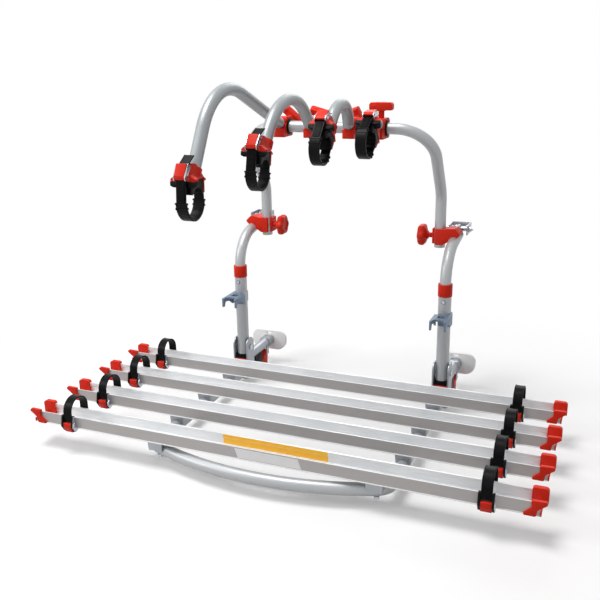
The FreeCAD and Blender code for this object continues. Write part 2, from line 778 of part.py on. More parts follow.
def platform_forks():
    forks = []
    bolts = []
    low = -size("fork_bottom")
    high = size("fork_top")
    half = size("fork_depth") / 2
    inside = size("fork_inside") / 2
    sheet_t = size("fork_sheet")
    for side, sign in SIDES:
        x = sign * POST_X
        outline = [(POST_Y - half, low, 6), (POST_Y + half, low, 6), (POST_Y + half, high, half * 0.9),
                   (POST_Y - half, high, half * 0.9)]
        cheeks = [plate("ForkCheek%s%d" % (side, edge), "YZ_Plane", outline, "Sizes.fork_sheet",
                        vec(x + edge * (inside + sheet_t / 2), 0, 0)) for edge in (-1, 1)]
        bridge_top = FRAME_Z + TUBE + 2
        bridge = box("ForkBridge" + side, ("Sizes.fork_inside", "Sizes.fork_depth", bridge_top - low),
                     vec(x, POST_Y, (bridge_top + low) / 2))
        bore = rod("ForkBore" + side, "Sizes.tube_radius", 4 * half, vec(x, POST_Y - 2 * half, FRAME_Z), AXIS_Y)
        pivot = rod("ForkPivot" + side, "Sizes.hinge_pin_radius + Sizes.slide_fit", 4 * inside,
                    vec(x - 2 * inside, POST_Y, HINGE_Z), AXIS_X)
        clamp_hole = rod("ForkHole" + side, "Sizes.rail_bolt_radius", 4 * inside,
                         vec(x - 2 * inside, POST_Y, FRAME_Z), AXIS_X)
        forks.append(cut("Fork" + side, fuse("ForkBody" + side, cheeks + [bridge]), [bore, pivot, clamp_hole]))
        outer = inside + sheet_t
        bolts.append(bolt("ForkBolt" + side, "Sizes.rail_bolt_radius", 2 * outer + 5,
                          vec(x - outer, POST_Y, FRAME_Z), AXIS_X, 7, 4.5, nut=True))
    node("platform_forks", group("PlatformForks", forks))
    node("fork_bolts", group("ForkBolts", bolts))


# Rails: open channels with a beaded back wall and a lip along each bottom edge

def rail_outline():
    width = size("rail_width")
    height = size("rail_height")
    wall = size("rail_wall")
    lip = size("rail_lip")
    bead = size("rail_bead_width")
    bead_low = -size("rail_bead_depth")
    return [(0, 0, 0), (0, -height + lip, 0), (-lip, -height + lip, 0), (-lip, -height, 0),
            (width + lip, -height, 0), (width + lip, -height + lip, 0), (width, -height + lip, 0),
            (width, 0, 1), (width - bead, 0, 1), (width - bead, bead_low, 1),
            (width - wall, bead_low - wall, 0), (width - wall, -height + wall, 1.5),
            (wall, -height + wall, 1.5), (wall, 0, 0)]


def rail_solid(name, k, length):
    return plate(name, "YZ_Plane", rail_outline(), length, vec(0, rail_front(k), 0))


def rails():
    for k, name in enumerate(RAILS):
        channel = rail_solid("Channel" + name, k, "Sizes.rail_length")
        holes = [rod("RailHole%s%s" % (name, side), "Sizes.rail_bolt_radius", 40,
                     vec(sign * saddle_x(k), rail_middle(k), RAIL_BOTTOM - 20), AXIS_Z) for side, sign in SIDES]
        node(name, cut("Rail" + name, channel, holes))


def rail_end_caps():
    caps = []
    width = size("rail_width")
    height = size("rail_height")
    end = size("cap_end")
    grip = size("cap_grip")
    wall = size("cap_wall")
    rise = size("cap_rise")
    lip = size("rail_lip")
    bead = size("rail_bead_width")
    floor = size("cap_floor")
    ear_top = size("cap_ear_top")
    ear_foot = size("cap_ear_foot")
    lean = size("cap_ear_lean")
    rail_end = size("rail_length") / 2
    for k, name in enumerate(RAILS):
        front = rail_front(k)
        for side, sign in SIDES:
            tip = rail_end + end
            tag = name + side
            stop_out = rail_end + wall - 1
            stop = plate("CapStop" + tag, "XZ_Plane",
                         [(sign * rail_end, -height, 0), (sign * stop_out, -height, 1),
                          (sign * stop_out, -height + floor, 1), (sign * rail_end, -height + floor, 0)],
                         width + 2 * lip, vec(0, front + width / 2, 0))
            back_block = plate("CapBack" + tag, "XZ_Plane",
                               [(sign * (tip - grip), -height + lip, 0), (sign * tip, -height + lip, 2),
                                (sign * tip, rise, 8), (sign * (tip - grip), rise, 6)],
                               bead + wall + 3, vec(0, front + width + (3 - bead - wall) / 2, 0))
            foot = tip - lean
            ear = plate("CapEar" + tag, "XZ_Plane",
                        [(sign * (tip - ear_top), rise - 2, 3), (sign * tip, rise - 1, 4),
                         (sign * (tip + 3), -1, 4), (sign * (foot + 3), -height / 2 - 1, 5),
                         (sign * foot, -height - 1, 3), (sign * (foot - ear_foot), -height - 1, 3),
                         (sign * (foot - ear_foot + 4), -height + 6, 4),
                         (sign * (tip - ear_top + 1), -height / 2 + 3, 6)],
                        2 * wall, vec(0, front, 0))
            channel = rail_solid("CapChannel" + tag, k, "Sizes.rail_length")
            caps.append(cut("Cap" + tag, fuse("CapBody" + tag, [stop, back_block, ear]), [channel]))
    node("rail_end_caps", group("RailEndCaps", caps))


# Saddles between the frame tube and the rails, and the bolts through them

def rail_saddles():
    saddles = []
    bolts = []
    top = RAIL_BOTTOM
    low = FRAME_Z + 4
    groove = swept("SaddleGroove", frame_path(), "Sizes.tube_radius")
    for k, name in enumerate(RAILS):
        for side, sign in SIDES:
            tag = name + side
            x = sign * saddle_x(k)
            y = rail_middle(k)
            block = plate("SaddleBlock" + tag, "XZ_Plane",
                          [(-size("saddle_length") / 2, top, 0), (-TUBE - 3, low, 1), (TUBE + 3, low, 1),
                           (size("saddle_length") / 2, top, 0)],
                          "Sizes.saddle_width", vec(x, y, 0))
            hole = rod("SaddleHole" + tag, "Sizes.rail_bolt_radius", 60, vec(x, y, FRAME_Z - 10), AXIS_Z)
            saddles.append(cut("Saddle" + tag, block, [groove, hole]))
            floor_z = RAIL_BOTTOM + size("rail_wall")
            tube_low = FRAME_Z - TUBE
            bolts.append(bolt("RailBolt" + tag, "Sizes.rail_bolt_radius", floor_z - tube_low + 8,
                              vec(x, y, floor_z), AXIS_Z * -1, 8, 4.4))
            bolts.append(cut("RailNut" + tag,
                             rod("RailNutBody" + tag, 6.5, 6.5, vec(x, y, tube_low), AXIS_Z * -1),
                             [rod("RailNutBore" + tag, "Sizes.rail_bolt_radius", 7,
                                  vec(x, y, tube_low), AXIS_Z * -1)]))
    node("rail_saddles", group("RailSaddles", saddles))
    node("rail_bolts", group("RailBolts", bolts))


# Straps over the rails with ratchet buckles low on the front walls

def band(name, path, width, thickness, x):
    """A flat band of even thickness along a path in the plane of y and z."""
    outer = path.makeOffset2D(thickness / 2, 0, False, True)
    inner = path.makeOffset2D(-thickness / 2, 0, False, True)
    ends = []
    for a, b in ((0, 0), (-1, -1)):
        first = outer.OrderedVertexes[a].Point
        second = inner.OrderedVertexes[b].Point
        ends.append(Part.LineSegment(first, second).toShape())
    rim = Part.Wire(Part.__sortEdges__(outer.Edges + inner.Edges + ends))
    item = doc.addObject("Part::Feature", name)
    solid = Part.Face(rim).extrude(AXIS_X * width)
    item.Shape = solid
    item.Placement = FreeCAD.Placement(vec(x - width / 2, 0, 0), FreeCAD.Rotation())
    return item


def rail_straps():
    straps = []
    buckles = []
    thickness = size("strap_thickness")
    width = size("strap_width")
    pin_out = size("buckle_pin_out")
    pin_z = -size("buckle_pin_drop")
    side_t = size("buckle_side")
    plate_t = size("buckle_plate")
    depth = size("buckle_depth")
    hook = size("buckle_hook")
    low = -size("rail_height") - GAP
    lip_out = -size("rail_lip") - GAP
    side_outline = [(0, 5, 3), (0, -27, 0), (lip_out, -27, 0), (lip_out, low, 0), (hook, low, 0),
                    (hook, low - 5, 2), (-4, low - 10, 3), (-depth, pin_z - 3, 4), (-depth + 6, 5, 3)]
    plate_outline = [(-depth + 1.5, pin_z + 1, 2), (-3, pin_z + 8, 2), (lip_out, low, 0), (hook - 1, low, 0),
                     (hook - 1, low - 4.5, 1.5), (-4, low - 9, 2), (-depth + 1.5, pin_z - 4, 2)]
    for k, name in enumerate(RAILS):
        front = rail_front(k)
        front_y = front - size("strap_stand_off") - thickness / 2
        back_y = front + size("rail_width") + size("rail_lip") + thickness / 2 + GAP
        radius = (back_y - front_y) / 2
        spring = size("strap_rise") - radius - thickness / 2
        path = Part.Wire([
            Part.LineSegment(vec(0, front_y, -10), vec(0, front_y, spring)).toShape(),
            Part.Arc(vec(0, front_y, spring), vec(0, front_y + radius, spring + radius),
                     vec(0, back_y, spring)).toShape(),
            Part.LineSegment(vec(0, back_y, spring), vec(0, back_y, -12)).toShape(),
        ])
        levers = []
        for side, sign in SIDES:
            tag = name + side
            x = sign * size("strap_offset")
            strap = band("Strap" + tag, path, width, thickness, x)
            anchor_depth = size("rail_lip") + GAP
            anchor = box("StrapAnchor" + tag, (width, anchor_depth, 10),
                         vec(x, front + size("rail_width") + anchor_depth / 2, -6))
            straps.append(fuse("StrapDone" + tag, [strap, anchor]))
            base = box("BuckleBase" + tag, (width + 2 * GAP, "Sizes.strap_stand_off", 6.5),
                       vec(x, front - size("strap_stand_off") / 2, -9.2))
            cheeks = [plate("BuckleCheek%s%d" % (tag, edge), "YZ_Plane", side_outline, "Sizes.buckle_side",
                            vec(x + edge * (width / 2 + GAP + side_t / 2), front, 0)) for edge in (-1, 1)]
            face = plate("BucklePlate" + tag, "YZ_Plane", plate_outline, "Sizes.buckle_plate",
                         vec(x + width / 2 + GAP + side_t + plate_t / 2, front, 0))
            pin_hole = rod("BuckleHole" + tag, "Sizes.buckle_pin_radius + Sizes.slide_fit", 2 * width,
                           vec(x - width, front - pin_out, pin_z), AXIS_X)
            buckles.append(cut("Buckle" + tag, fuse("BuckleBody" + tag, [base, face] + cheeks), [pin_hole]))
            pin = rod("LeverPin" + tag, "Sizes.buckle_pin_radius", width + 2 * GAP + 2 * side_t + plate_t,
                      vec(x - width / 2 - GAP - side_t, front - pin_out, pin_z), AXIS_X)
            lever_low = pin_z - size("rail_lever_length")
            blade = plate("LeverBlade" + tag, "YZ_Plane",
                          [(-pin_out - 4.5, pin_z + 5, 2), (-pin_out + 3, pin_z + 5.5, 2),
                           (lip_out - 2, pin_z - 8, 2), (lip_out - 0.6, lever_low + 2, 1.5),
                           (lip_out - 4, lever_low, 1.5), (-pin_out - 4.5, pin_z - 7, 4)],
                          "Sizes.strap_width - 2 * Sizes.side_gap", vec(x, front, 0))
            levers.append(fuse("Lever" + tag, [pin, blade]))
        node(name + "_levers", group("Levers" + name, levers))
    node("rail_straps", group("RailStraps", straps))
    node("rail_buckles", group("RailBuckles", buckles))


# Release levers hang below the struts

def release_levers():
    reach = -size("release_reach")
    drop = -size("release_drop")
    width = size("release_width")
    for side, sign in SIDES:
        x = sign * POST_X
        pin = rod("ReleasePin" + side, "Sizes.release_pin_radius", width + 2 * GAP + 6,
                  vec(x - width / 2 - GAP - 3, reach, drop), AXIS_X)
        low = drop - size("release_length")
        tab = plate("ReleaseTab" + side, "YZ_Plane",
                    [(reach - 8, drop + 7, 5), (reach + 7, drop + 7, 5), (reach + 7, drop - 10, 3),
                     (reach + 2, low + 5, 4), (reach - 4, low, 3), (reach - 56, low + 22, 4),
                     (reach - 58, low + 27, 2), (reach - 30, low + 28, 3), (reach - 26, drop - 10, 4)],
                    "Sizes.release_width", vec(x, 0, 0))
        node("release_lever_" + side, fuse("ReleaseLever" + side, [pin, tab]))


# Latch blocks clamped under the struts

def latch_blocks():
    blocks = []
    strut_z = -size("strut_drop")
    top = strut_z - 5
    low = -size("latch_bottom")
    near = -size("latch_reach")
    far = near - size("latch_length")
    for side, sign in SIDES:
        x = sign * POST_X
        block = plate("LatchBlock" + side, "YZ_Plane",
                      [(near, top, 2), (far, top, 2), (far, low + 14, 4), (far + 8, low, 5), (near, low, 4)],
                      "Sizes.latch_width", vec(x, 0, 0))
        groove = rod("LatchGroove" + side, "Sizes.strut_radius", size("latch_length") * 2,
                     vec(x, far - size("latch_length") / 2, strut_z), AXIS_Y)
        blocks.append(cut("Latch" + side, block, [groove]))
    node("latch_blocks", group("LatchBlocks", blocks))


# Arms: bush, clamp block, bent tube, handle, grip head, strap and lever

def arm_bush(name, x):
    width = size("block_width")
    flange = size("bush_flange")
    inner = "Sizes.tube_radius + Sizes.slide_fit"
    outer = "Sizes.tube_radius + Sizes.slide_fit + Sizes.bush_wall"
    start = x - width / 2 - GAP
    sleeve = rod("BushSleeve" + name, outer, width + 2 * GAP, vec(start, BAR_Y, BAR_Z), AXIS_X)
    rings = [rod("BushRing%s%d" % (name, edge), "Sizes.bush_flange_radius", flange,
                 vec(x + edge * (width / 2 + GAP), BAR_Y, BAR_Z), AXIS_X * edge) for edge in (-1, 1)]
    bore = rod("BushBore" + name, inner, 2 * width, vec(x - width, BAR_Y, BAR_Z), AXIS_X)
    node(name + "_bush", cut("Bush" + name, fuse("BushBody" + name, [sleeve] + rings), [bore]))


def arm_clamp(name, x, path, lean):
    front = BAR_Y - size("block_front")
    back = BAR_Y + size("block_back")
    low = BAR_Z - size("block_below")
    high = BAR_Z + size("block_above")
    seat_y = -size("seat_reach")
    seat_z = size("seat_level")
    outline = [(front, low, 3), (back - 6, low, 6), (back, low + 10, 4), (back, high - 8, 5),
               (back - 8, high, 5), (seat_y + TUBE + 3, high, 3), (seat_y + TUBE - 2, seat_z, 0),
               (seat_y, seat_z - TUBE + 2, 0), (front, seat_z - TUBE + 6, 2)]
    block = plate("Block" + name, "YZ_Plane", outline, "Sizes.block_width", vec(x, 0, 0))
    width = size("block_width")
    bore = rod("BlockBore" + name, "Sizes.tube_radius + 2 * Sizes.slide_fit + Sizes.bush_wall", 2 * width,
               vec(x - width, BAR_Y, BAR_Z), AXIS_X)
    seat = rod("BlockSeat" + name, "Sizes.tube_radius + Sizes.slide_fit", 2 * width,
               vec(x - width, seat_y, seat_z), AXIS_X)
    split = box("BlockSplit" + name, (2 * width, size("block_back"), "Sizes.block_split"),
                vec(x, BAR_Y + size("block_back") / 2 + TUBE, BAR_Z))
    screw = rod("BlockScrew" + name, "Sizes.handle_screw_radius + Sizes.slide_fit", size("block_above") * 2,
                vec(x, BAR_Y, BAR_Z), vec(0, math.sin(lean), math.cos(lean)))
    groove = swept("BlockGroove" + name, path, "Sizes.tube_radius + Sizes.slide_fit")
    node(name + "_clamp", cut("ClampBlock" + name, block, [bore, seat, split, screw, groove]))


def arm_knob(name, x, turn, lean):
    """The handle's short screw presses on the bush; the screw leans back from upright."""
    low = TUBE + FIT + size("bush_wall") + GAP
    top = size("block_above") + GAP
    if lean > 0:
        top = (size("block_back") + size("handle_stem_radius") * math.cos(lean)) / math.sin(lean) + GAP
    neck = size("handle_neck")
    screw = rod("HandleScrew" + name, "Sizes.handle_screw_radius", top - low, vec(0, 0, low), AXIS_Z)
    stem = rod("HandleStem" + name, "Sizes.handle_stem_radius", neck, vec(0, 0, top), AXIS_Z)
    half = size("handle_length") / 2
    rise = size("handle_height")
    bar = plate("HandleBar" + name, "XZ_Plane",
                [(-half, 0, 4), (half, 0, 4), (half, rise, 5), (-half, rise, 5)],
                "Sizes.handle_depth", vec(0, 0, top + neck), FreeCAD.Rotation(AXIS_Z, turn))
    place = FreeCAD.Placement(vec(x, BAR_Y, BAR_Z), FreeCAD.Rotation(AXIS_X, -math.degrees(lean)))
    node(name + "_knob", settle(fuse("Knob" + name, [screw, stem, bar]), place))


def arm_geometry(name):
    """Path of an arm's tube, its direction into the grip, and the placement of the grip."""
    x = size(name + "_place")
    rise = math.radians(size(name + "_rise"))
    fall = math.radians(size(name + "_fall"))
    back_radius = size(name + "_rise_radius")
    front_radius = size(name + "_fall_radius")
    start = vec(x, -size("seat_reach"), size("seat_level"))
    climb = size(name + "_crest") - start.z
    run = (climb - back_radius * (1 - math.cos(rise))) / math.sin(rise)
    up = vec(0, -math.cos(rise), math.sin(rise))
    down = vec(0, -math.cos(fall), -math.sin(fall))
    back_reach = back_radius * math.tan(rise / 2)
    front_reach = front_radius * math.tan(fall / 2)
    first = start + up * (run + back_reach)
    second = first + vec(0, -back_reach - front_reach, 0)
    mouth = second + down * (front_reach + size(name + "_run"))
    end = mouth + down * size("socket_depth")
    path = bent([(start, 0), (first, back_radius), (second, front_radius), (end, 0)])
    centre = vec(x, -size(name + "_grip_reach"), size(name + "_grip_level"))
    turn = FreeCAD.Rotation(AXIS_X, size(name + "_grip_turn"))
    return path, start, mouth, down, FreeCAD.Placement(centre, turn)


def settle(item, place):
    """Moves a piece that was drawn about the origin to its place."""
    item.Placement = place.multiply(item.Placement)
    return item


def arm_tube(name, path, start):
    stock = tube("ArmStock" + name, path)
    cap = ball("ArmEnd" + name, "Sizes.tube_radius", start)
    along = path.OrderedEdges[0].tangentAt(path.OrderedEdges[0].FirstParameter)
    keep = rod("ArmEndKeep" + name, 2 * TUBE, 2 * TUBE, start, along * -1)
    node(name + "_tube", fuse("ArmTube" + name, [stock, common("ArmCap" + name, [cap, keep])]))


def arm_head(name, mouth, down, grip_place):
    """Housing with a socket for the tube, two wings, and cheeks for the ratchet lever."""
    pin_y = -size("head_pin_out")
    pin_z = size("head_pin_rise")
    band_half = size("band_width") / 2
    jaw_back = size("jaw_back")
    flange = jaw_back + GAP
    half = size("head_width") / 2
    side_view = plate("HeadSide" + name, "YZ_Plane",
                      [(-29, 1, 2), (-31, 14, 5), (-20, 33, 5), (-8, 37, 6), (6, 34, 8), (29, 3, 8),
                       (37, -1, 2), (37, -5, 1), (flange + 4, -5, 1), (flange + 4, -30, 1.5), (flange, -30, 1),
                       (flange, 1, 0)], 2 * size("head_width"), vec(0, 0, 0))
    front_view = plate("HeadFront" + name, "XZ_Plane",
                       [(-half, -34, 0), (half, -34, 0), (half + 1, 4, 3), (half - 4, 40, 3), (4 - half, 40, 3),
                        (-half - 1, 4, 3)], 4 * size("head_width"), vec(0, 0, 0))
    shell = common("HeadShell" + name, [side_view, front_view])
    wing_half = size("wing_width") / 2
    wings = plate("HeadWings" + name, "XZ_Plane",
                  [(-wing_half, 1, 1), (wing_half, 1, 1), (wing_half, 6, 3), (half, 15, 4), (-half, 15, 4),
                   (-wing_half, 6, 3)], "Sizes.wing_depth", vec(0, -24, 0))
    cheeks = [plate("HeadCheek%s%d" % (name, edge), "YZ_Plane",
                    [(-24, 2, 0), (-20, 33, 2), (-29, 40, 2), (pin_y - 4, pin_z + 5, 4), (pin_y - 3, pin_z - 5, 4)],
                    2, vec(edge * (band_half + 2 * GAP + 1), 0, 0)) for edge in (-1, 1)]
    into = grip_place.inverse()
    local_mouth = into.multVec(mouth)
    local_down = into.Rotation.multVec(down)
    boss = rod("HeadBoss" + name, "Sizes.socket_radius", "Sizes.socket_length",
               local_mouth + local_down * size("socket_lead"), local_down)
    bore = rod("HeadBore" + name, "Sizes.tube_radius", "Sizes.socket_depth + 6", local_mouth - local_down * 6,
               local_down)
    pin_hole = rod("HeadPinHole" + name, "Sizes.buckle_pin_radius + Sizes.slide_fit", 4 * band_half,
                   vec(-2 * band_half, pin_y, pin_z), AXIS_X)
    under = box("HeadUnder" + name, (4 * half, 2 * jaw_back, 40), vec(0, flange - jaw_back, 1 - 20))
    head = cut("Head" + name, fuse("HeadBody" + name, [shell, wings, boss] + cheeks), [bore, pin_hole, under])
    node(name + "_head", settle(head, grip_place))


def arm_grip(name, grip_place):
    """Black jaw with an arch below, and the strap that loops under it."""
    jaw_back = size("jaw_back")
    wing_half = size("wing_width") / 2 + 1
    jaw_top = 1 - GAP
    jaw = plate("Jaw" + name, "YZ_Plane",
                [(-27, jaw_top, 3), (jaw_back, jaw_top, 1), (jaw_back, -34, 2), (jaw_back - 4, -36, 1.5),
                 (jaw_back - 7, -28, 3), (12, -19, 5), (0, -16, 8), (-12, -19, 5), (-19, -28, 3), (-27, -28, 3)],
                "Sizes.jaw_width", vec(0, 0, 0))
    wings = plate("JawWings" + name, "XZ_Plane",
                  [(-wing_half, jaw_top, 1), (-wing_half, -9, 3), (8 - wing_half, -12, 2), (wing_half - 8, -12, 2),
                   (wing_half, -9, 3), (wing_half, jaw_top, 1)], "Sizes.wing_depth + 2", vec(0, -24, 0))
    radius = size("loop_radius")
    drop = -size("loop_centre_drop")
    middle = -size("loop_centre_out")
    path = Part.Wire([
        Part.LineSegment(vec(0, middle + radius, -6), vec(0, middle + radius, drop)).toShape(),
        Part.Arc(vec(0, middle + radius, drop), vec(0, middle, drop - radius), vec(0, middle - radius, drop)).toShape(),
        Part.LineSegment(vec(0, middle - radius, drop), vec(0, -37, 12)).toShape(),
        Part.LineSegment(vec(0, -37, 12), vec(0, -25, 34)).toShape(),
        Part.LineSegment(vec(0, -25, 34), vec(0, -25, 34) + vec(0, 0.841, 0.541) * size(name + "_tail")).toShape(),
    ])
    strap = band("GripBand" + name, path, size("band_width"), size("band_thickness"), 0)
    node(name + "_grip", settle(group("Grip" + name, [fuse("JawBody" + name, [jaw, wings]), strap]), grip_place))


def arm_lever(name, grip_place):
    pin_y = -size("head_pin_out")
    pin_z = size("head_pin_rise")
    band_half = size("band_width") / 2
    pin = rod("HeadPin" + name, "Sizes.buckle_pin_radius", "Sizes.band_width + 4 * Sizes.side_gap + 6",
              vec(-band_half - 2 * GAP - 3, pin_y, pin_z), AXIS_X)
    blade = plate("HeadBlade" + name, "YZ_Plane",
                  [(-41.2, 6.5, 0.6), (-39.6, 13, 2), (-28, 34.5, 1), (-29, 39, 2), (-33, 39.5, 2), (-45.5, 15, 3),
                   (-46, 6, 2)], "Sizes.band_width + 2 * Sizes.side_gap", vec(0, 0, 0))
    node(name + "_lever", settle(fuse("HeadLever" + name, [pin, blade]), grip_place))
    pivot = grip_place.multVec(vec(0, pin_y, pin_z))
    print("%s grip lever turns about x at y %.3f z %.3f" % (name, pivot.y, pivot.z))


def arms():
    for arm in ARMS:
        name = arm[0]
        x = size(name + "_place")
        lean = math.radians(size(name + "_handle_lean"))
        path, start, mouth, down, grip_place = arm_geometry(name)
        arm_bush(name, x)
        arm_clamp(name, x, path, lean)
        arm_knob(name, x, size(name + "_handle_turn"), lean)
        arm_tube(name, path, start)
        arm_head(name, mouth, down, grip_place)
        arm_grip(name, grip_place)
        arm_lever(name, grip_place)


wall_pads()
post_feet()
lower_posts()
frame_hooks()
upper_posts()
upper_brackets()
leg_clamps()
leg_knobs()
hoop()
platform_frame()
platform_forks()
rails()
rail_end_caps()
rail_saddles()
rail_straps()
latch_blocks()
release_levers()
arms()
doc.recompute()

for item in doc.Objects:
    if "Invalid" in item.State or "Error" in item.State:
        raise RuntimeError("failed object: " + item.Name)

os.makedirs("parts", exist_ok=True)
for name, item in NODES.items():
    shape = item.Shape
    if shape.isNull() or not shape.isValid() or not shape.Solids:
        raise RuntimeError("bad shape: " + name)
    shape.exportStep("parts/" + name + ".step")
print("%d sub-parts written" % len(NODES))
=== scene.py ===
import json
import math

import bmesh
import bpy
from mathutils import Matrix, Vector


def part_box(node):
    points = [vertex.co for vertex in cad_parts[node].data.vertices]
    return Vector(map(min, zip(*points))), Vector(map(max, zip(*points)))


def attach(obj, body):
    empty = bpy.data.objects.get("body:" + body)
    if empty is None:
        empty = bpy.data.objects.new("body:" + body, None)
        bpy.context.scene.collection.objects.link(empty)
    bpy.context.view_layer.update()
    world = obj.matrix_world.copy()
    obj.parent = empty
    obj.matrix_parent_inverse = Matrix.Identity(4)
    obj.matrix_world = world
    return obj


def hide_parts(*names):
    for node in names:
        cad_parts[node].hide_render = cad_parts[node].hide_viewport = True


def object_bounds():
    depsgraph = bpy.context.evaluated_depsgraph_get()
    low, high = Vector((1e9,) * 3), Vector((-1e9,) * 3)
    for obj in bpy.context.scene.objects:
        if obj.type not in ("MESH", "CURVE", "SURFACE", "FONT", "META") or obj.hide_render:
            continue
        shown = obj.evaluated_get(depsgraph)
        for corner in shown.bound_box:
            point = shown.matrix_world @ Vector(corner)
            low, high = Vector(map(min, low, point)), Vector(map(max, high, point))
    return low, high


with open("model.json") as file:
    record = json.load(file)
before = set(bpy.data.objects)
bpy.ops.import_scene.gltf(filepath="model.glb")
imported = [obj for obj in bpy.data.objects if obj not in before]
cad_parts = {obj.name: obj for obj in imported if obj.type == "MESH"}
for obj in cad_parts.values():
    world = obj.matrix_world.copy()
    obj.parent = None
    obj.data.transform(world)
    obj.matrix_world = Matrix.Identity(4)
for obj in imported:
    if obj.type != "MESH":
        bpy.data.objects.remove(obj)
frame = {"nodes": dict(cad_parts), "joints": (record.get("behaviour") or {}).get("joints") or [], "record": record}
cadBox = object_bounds()
nodes = frame["nodes"]
record = frame["record"]
bodyOf = {node: body for body, names in record["behaviour"]["bodies"].items() for node in names}
slotOf = {part["node"]: part["material_slot"] for part in record["subparts"]}
jointAt = {joint["name"]: joint.get("pos_m") for joint in frame["joints"]}
railNames = ["rail_1", "rail_2", "rail_3", "rail_4"]
armNames = ["arm_1", "arm_2", "arm_3", "arm_4"]
mm = 0.001
sharpFrom = 32  # degrees between faces from which an edge is rounded and shaded as an edge


class Wire:  # a socket that Python operators work on
    def __init__(self, tree, socket):
        self.tree = tree
        self.socket = socket

    def maths(self, operation, first, second):
        return self.tree.add("ShaderNodeMath", [first, second], operation=operation)

    def __add__(self, other):
        return self.maths("ADD", self, other)

    def __sub__(self, other):
        return self.maths("SUBTRACT", self, other)

    def __rsub__(self, other):
        return self.maths("SUBTRACT", other, self)

    def __mul__(self, other):
        return self.maths("MULTIPLY", self, other)

    def __gt__(self, other):
        return self.maths("GREATER_THAN", self, other)

    __radd__ = __add__
    __rmul__ = __mul__


class Tree:  # adds nodes to a tree, one call for each
    def __init__(self, nodeTree):
        self.nodes = nodeTree.nodes
        self.links = nodeTree.links

    def add(self, kind, inputs=(), out=0, stops=None, **settings):
        node = self.nodes.new(kind)
        for key, value in settings.items():
            setattr(node, key, value)
        if stops:
            ramp = node.color_ramp
            for element, (place, colour) in zip(ramp.elements, (stops[0], stops[-1])):
                element.position, element.color = place, colour
            for place, colour in stops[1:-1]:
                ramp.elements.new(place).color = colour
        self.feed(node, inputs)
        return Wire(self, node.outputs[out])

    def feed(self, node, inputs):
        pairs = inputs.items() if isinstance(inputs, dict) else enumerate(inputs)
        for key, value in pairs:
            if isinstance(value, Wire):
                self.links.new(value.socket, node.inputs[key])
            elif value is not None:
                node.inputs[key].default_value = value

    def blend(self, factor, first, second):
        return self.add("ShaderNodeMix", {0: factor, 6: first, 7: second}, out=2, data_type="RGBA")

    def noise(self, where, stretch, scale, detail=3.0):
        place = self.add("ShaderNodeMapping", {"Vector": where, "Scale": stretch})
        return self.add("ShaderNodeTexNoise", {"Vector": place, "Scale": scale, "Detail": detail})


def grey(level):
    return (level, level, level, 1.0)


def shade(colour, factor):
    return tuple(min(1.0, c * factor) for c in colour[:3]) + (1.0,)


# Finishes

metalLooks = {
    # colour, roughness and share of metal, then the grain: its stretch, scale, depth and spread of tone
    "satinTube": dict(colour=(0.47, 0.485, 0.50), roughness=0.42, metallic=0.45,
                      stretch=(1, 1, 1), scale=420, depth=0.02, spread=0.05),
    "armTube": dict(colour=(0.34, 0.365, 0.38), roughness=0.40, metallic=0.4,
                    stretch=(1, 1, 1), scale=420, depth=0.02, spread=0.05),
    # the rails' one aluminium in three copies: painted shade on the outer front face, a lit copy inside, a painted
    # highlight along the lower lip
    "railShadedFace": dict(colour=(0.40, 0.38, 0.375), roughness=0.42, metallic=0.45,
                     stretch=(0.02, 1, 1), scale=900, depth=0.05, spread=0.12),
    "railLitInside": dict(colour=(0.84, 0.87, 0.90), roughness=0.34, metallic=0.3,
                       stretch=(0.02, 1, 1), scale=700, depth=0.10, spread=0.26),
    "railLipHighlight": dict(colour=(0.93, 0.94, 0.95), roughness=0.3, metallic=0.1,
                    stretch=(0.02, 1, 1), scale=900, depth=0.05, spread=0.10),
    "zincPlate": dict(colour=(0.38, 0.40, 0.43), roughness=0.30, metallic=0.6,
                      stretch=(1, 1, 1), scale=160, depth=0.06, spread=0.18),
    "brightSteel": dict(colour=(0.52, 0.55, 0.60), roughness=0.22, metallic=0.85,
                        stretch=(1, 1, 1), scale=600, depth=0.02, spread=0.08),
    "darkChrome": dict(colour=(0.16, 0.17, 0.19), roughness=0.16, metallic=0.95,
                       stretch=(1, 1, 1), scale=600, depth=0.02, spread=0.08),
    "blueGreyCast": dict(colour=(0.16, 0.22, 0.30), roughness=0.46, metallic=0.35,
                         stretch=(1, 1, 1), scale=380, depth=0.12, spread=0.16),
}
metalGrain = dict(cloudScale=9.0, cloudDetail=2.0, grainShare=0.7, cloudShare=0.3, cloudRough=0.12,
                  grainRough=0.10, bumpReach=0.0004)


def startMaterial(name):
    # a new material with its tree, its shader and the place on the piece
    material = bpy.data.materials.new(name)
    material.use_nodes = True
    tree = Tree(material.node_tree)
    return material, tree, tree.nodes["Principled BSDF"], tree.add("ShaderNodeTexCoord", out="Object")


def toned(tree, factor, look):
    low, high = 1 - look["spread"], 1 + look["spread"]
    return tree.blend(factor, shade(look["colour"], low), shade(look["colour"], high))


def bumped(tree, height, strength, reach):
    inputs = {"Strength": strength, "Distance": reach, "Height": height}
    return tree.add("ShaderNodeBump", inputs, out="Normal")


def metal(name):
    look = metalLooks[name]
    vary = metalGrain
    material, tree, shader, where = startMaterial(name)
    grain = tree.noise(where, look["stretch"], look["scale"])
    clouds = tree.noise(where, (1, 1, 1), vary["cloudScale"], vary["cloudDetail"])
    roughness = look["roughness"] + (clouds - 0.5) * vary["cloudRough"] + (grain - 0.5) * vary["grainRough"]
    mixed = grain * vary["grainShare"] + clouds * vary["cloudShare"]
    tree.feed(shader, {"Base Color": toned(tree, mixed, look),
                       "Metallic": look["metallic"], "Roughness": roughness,
                       "Normal": bumped(tree, grain, look["depth"], vary["bumpReach"])})
    return material


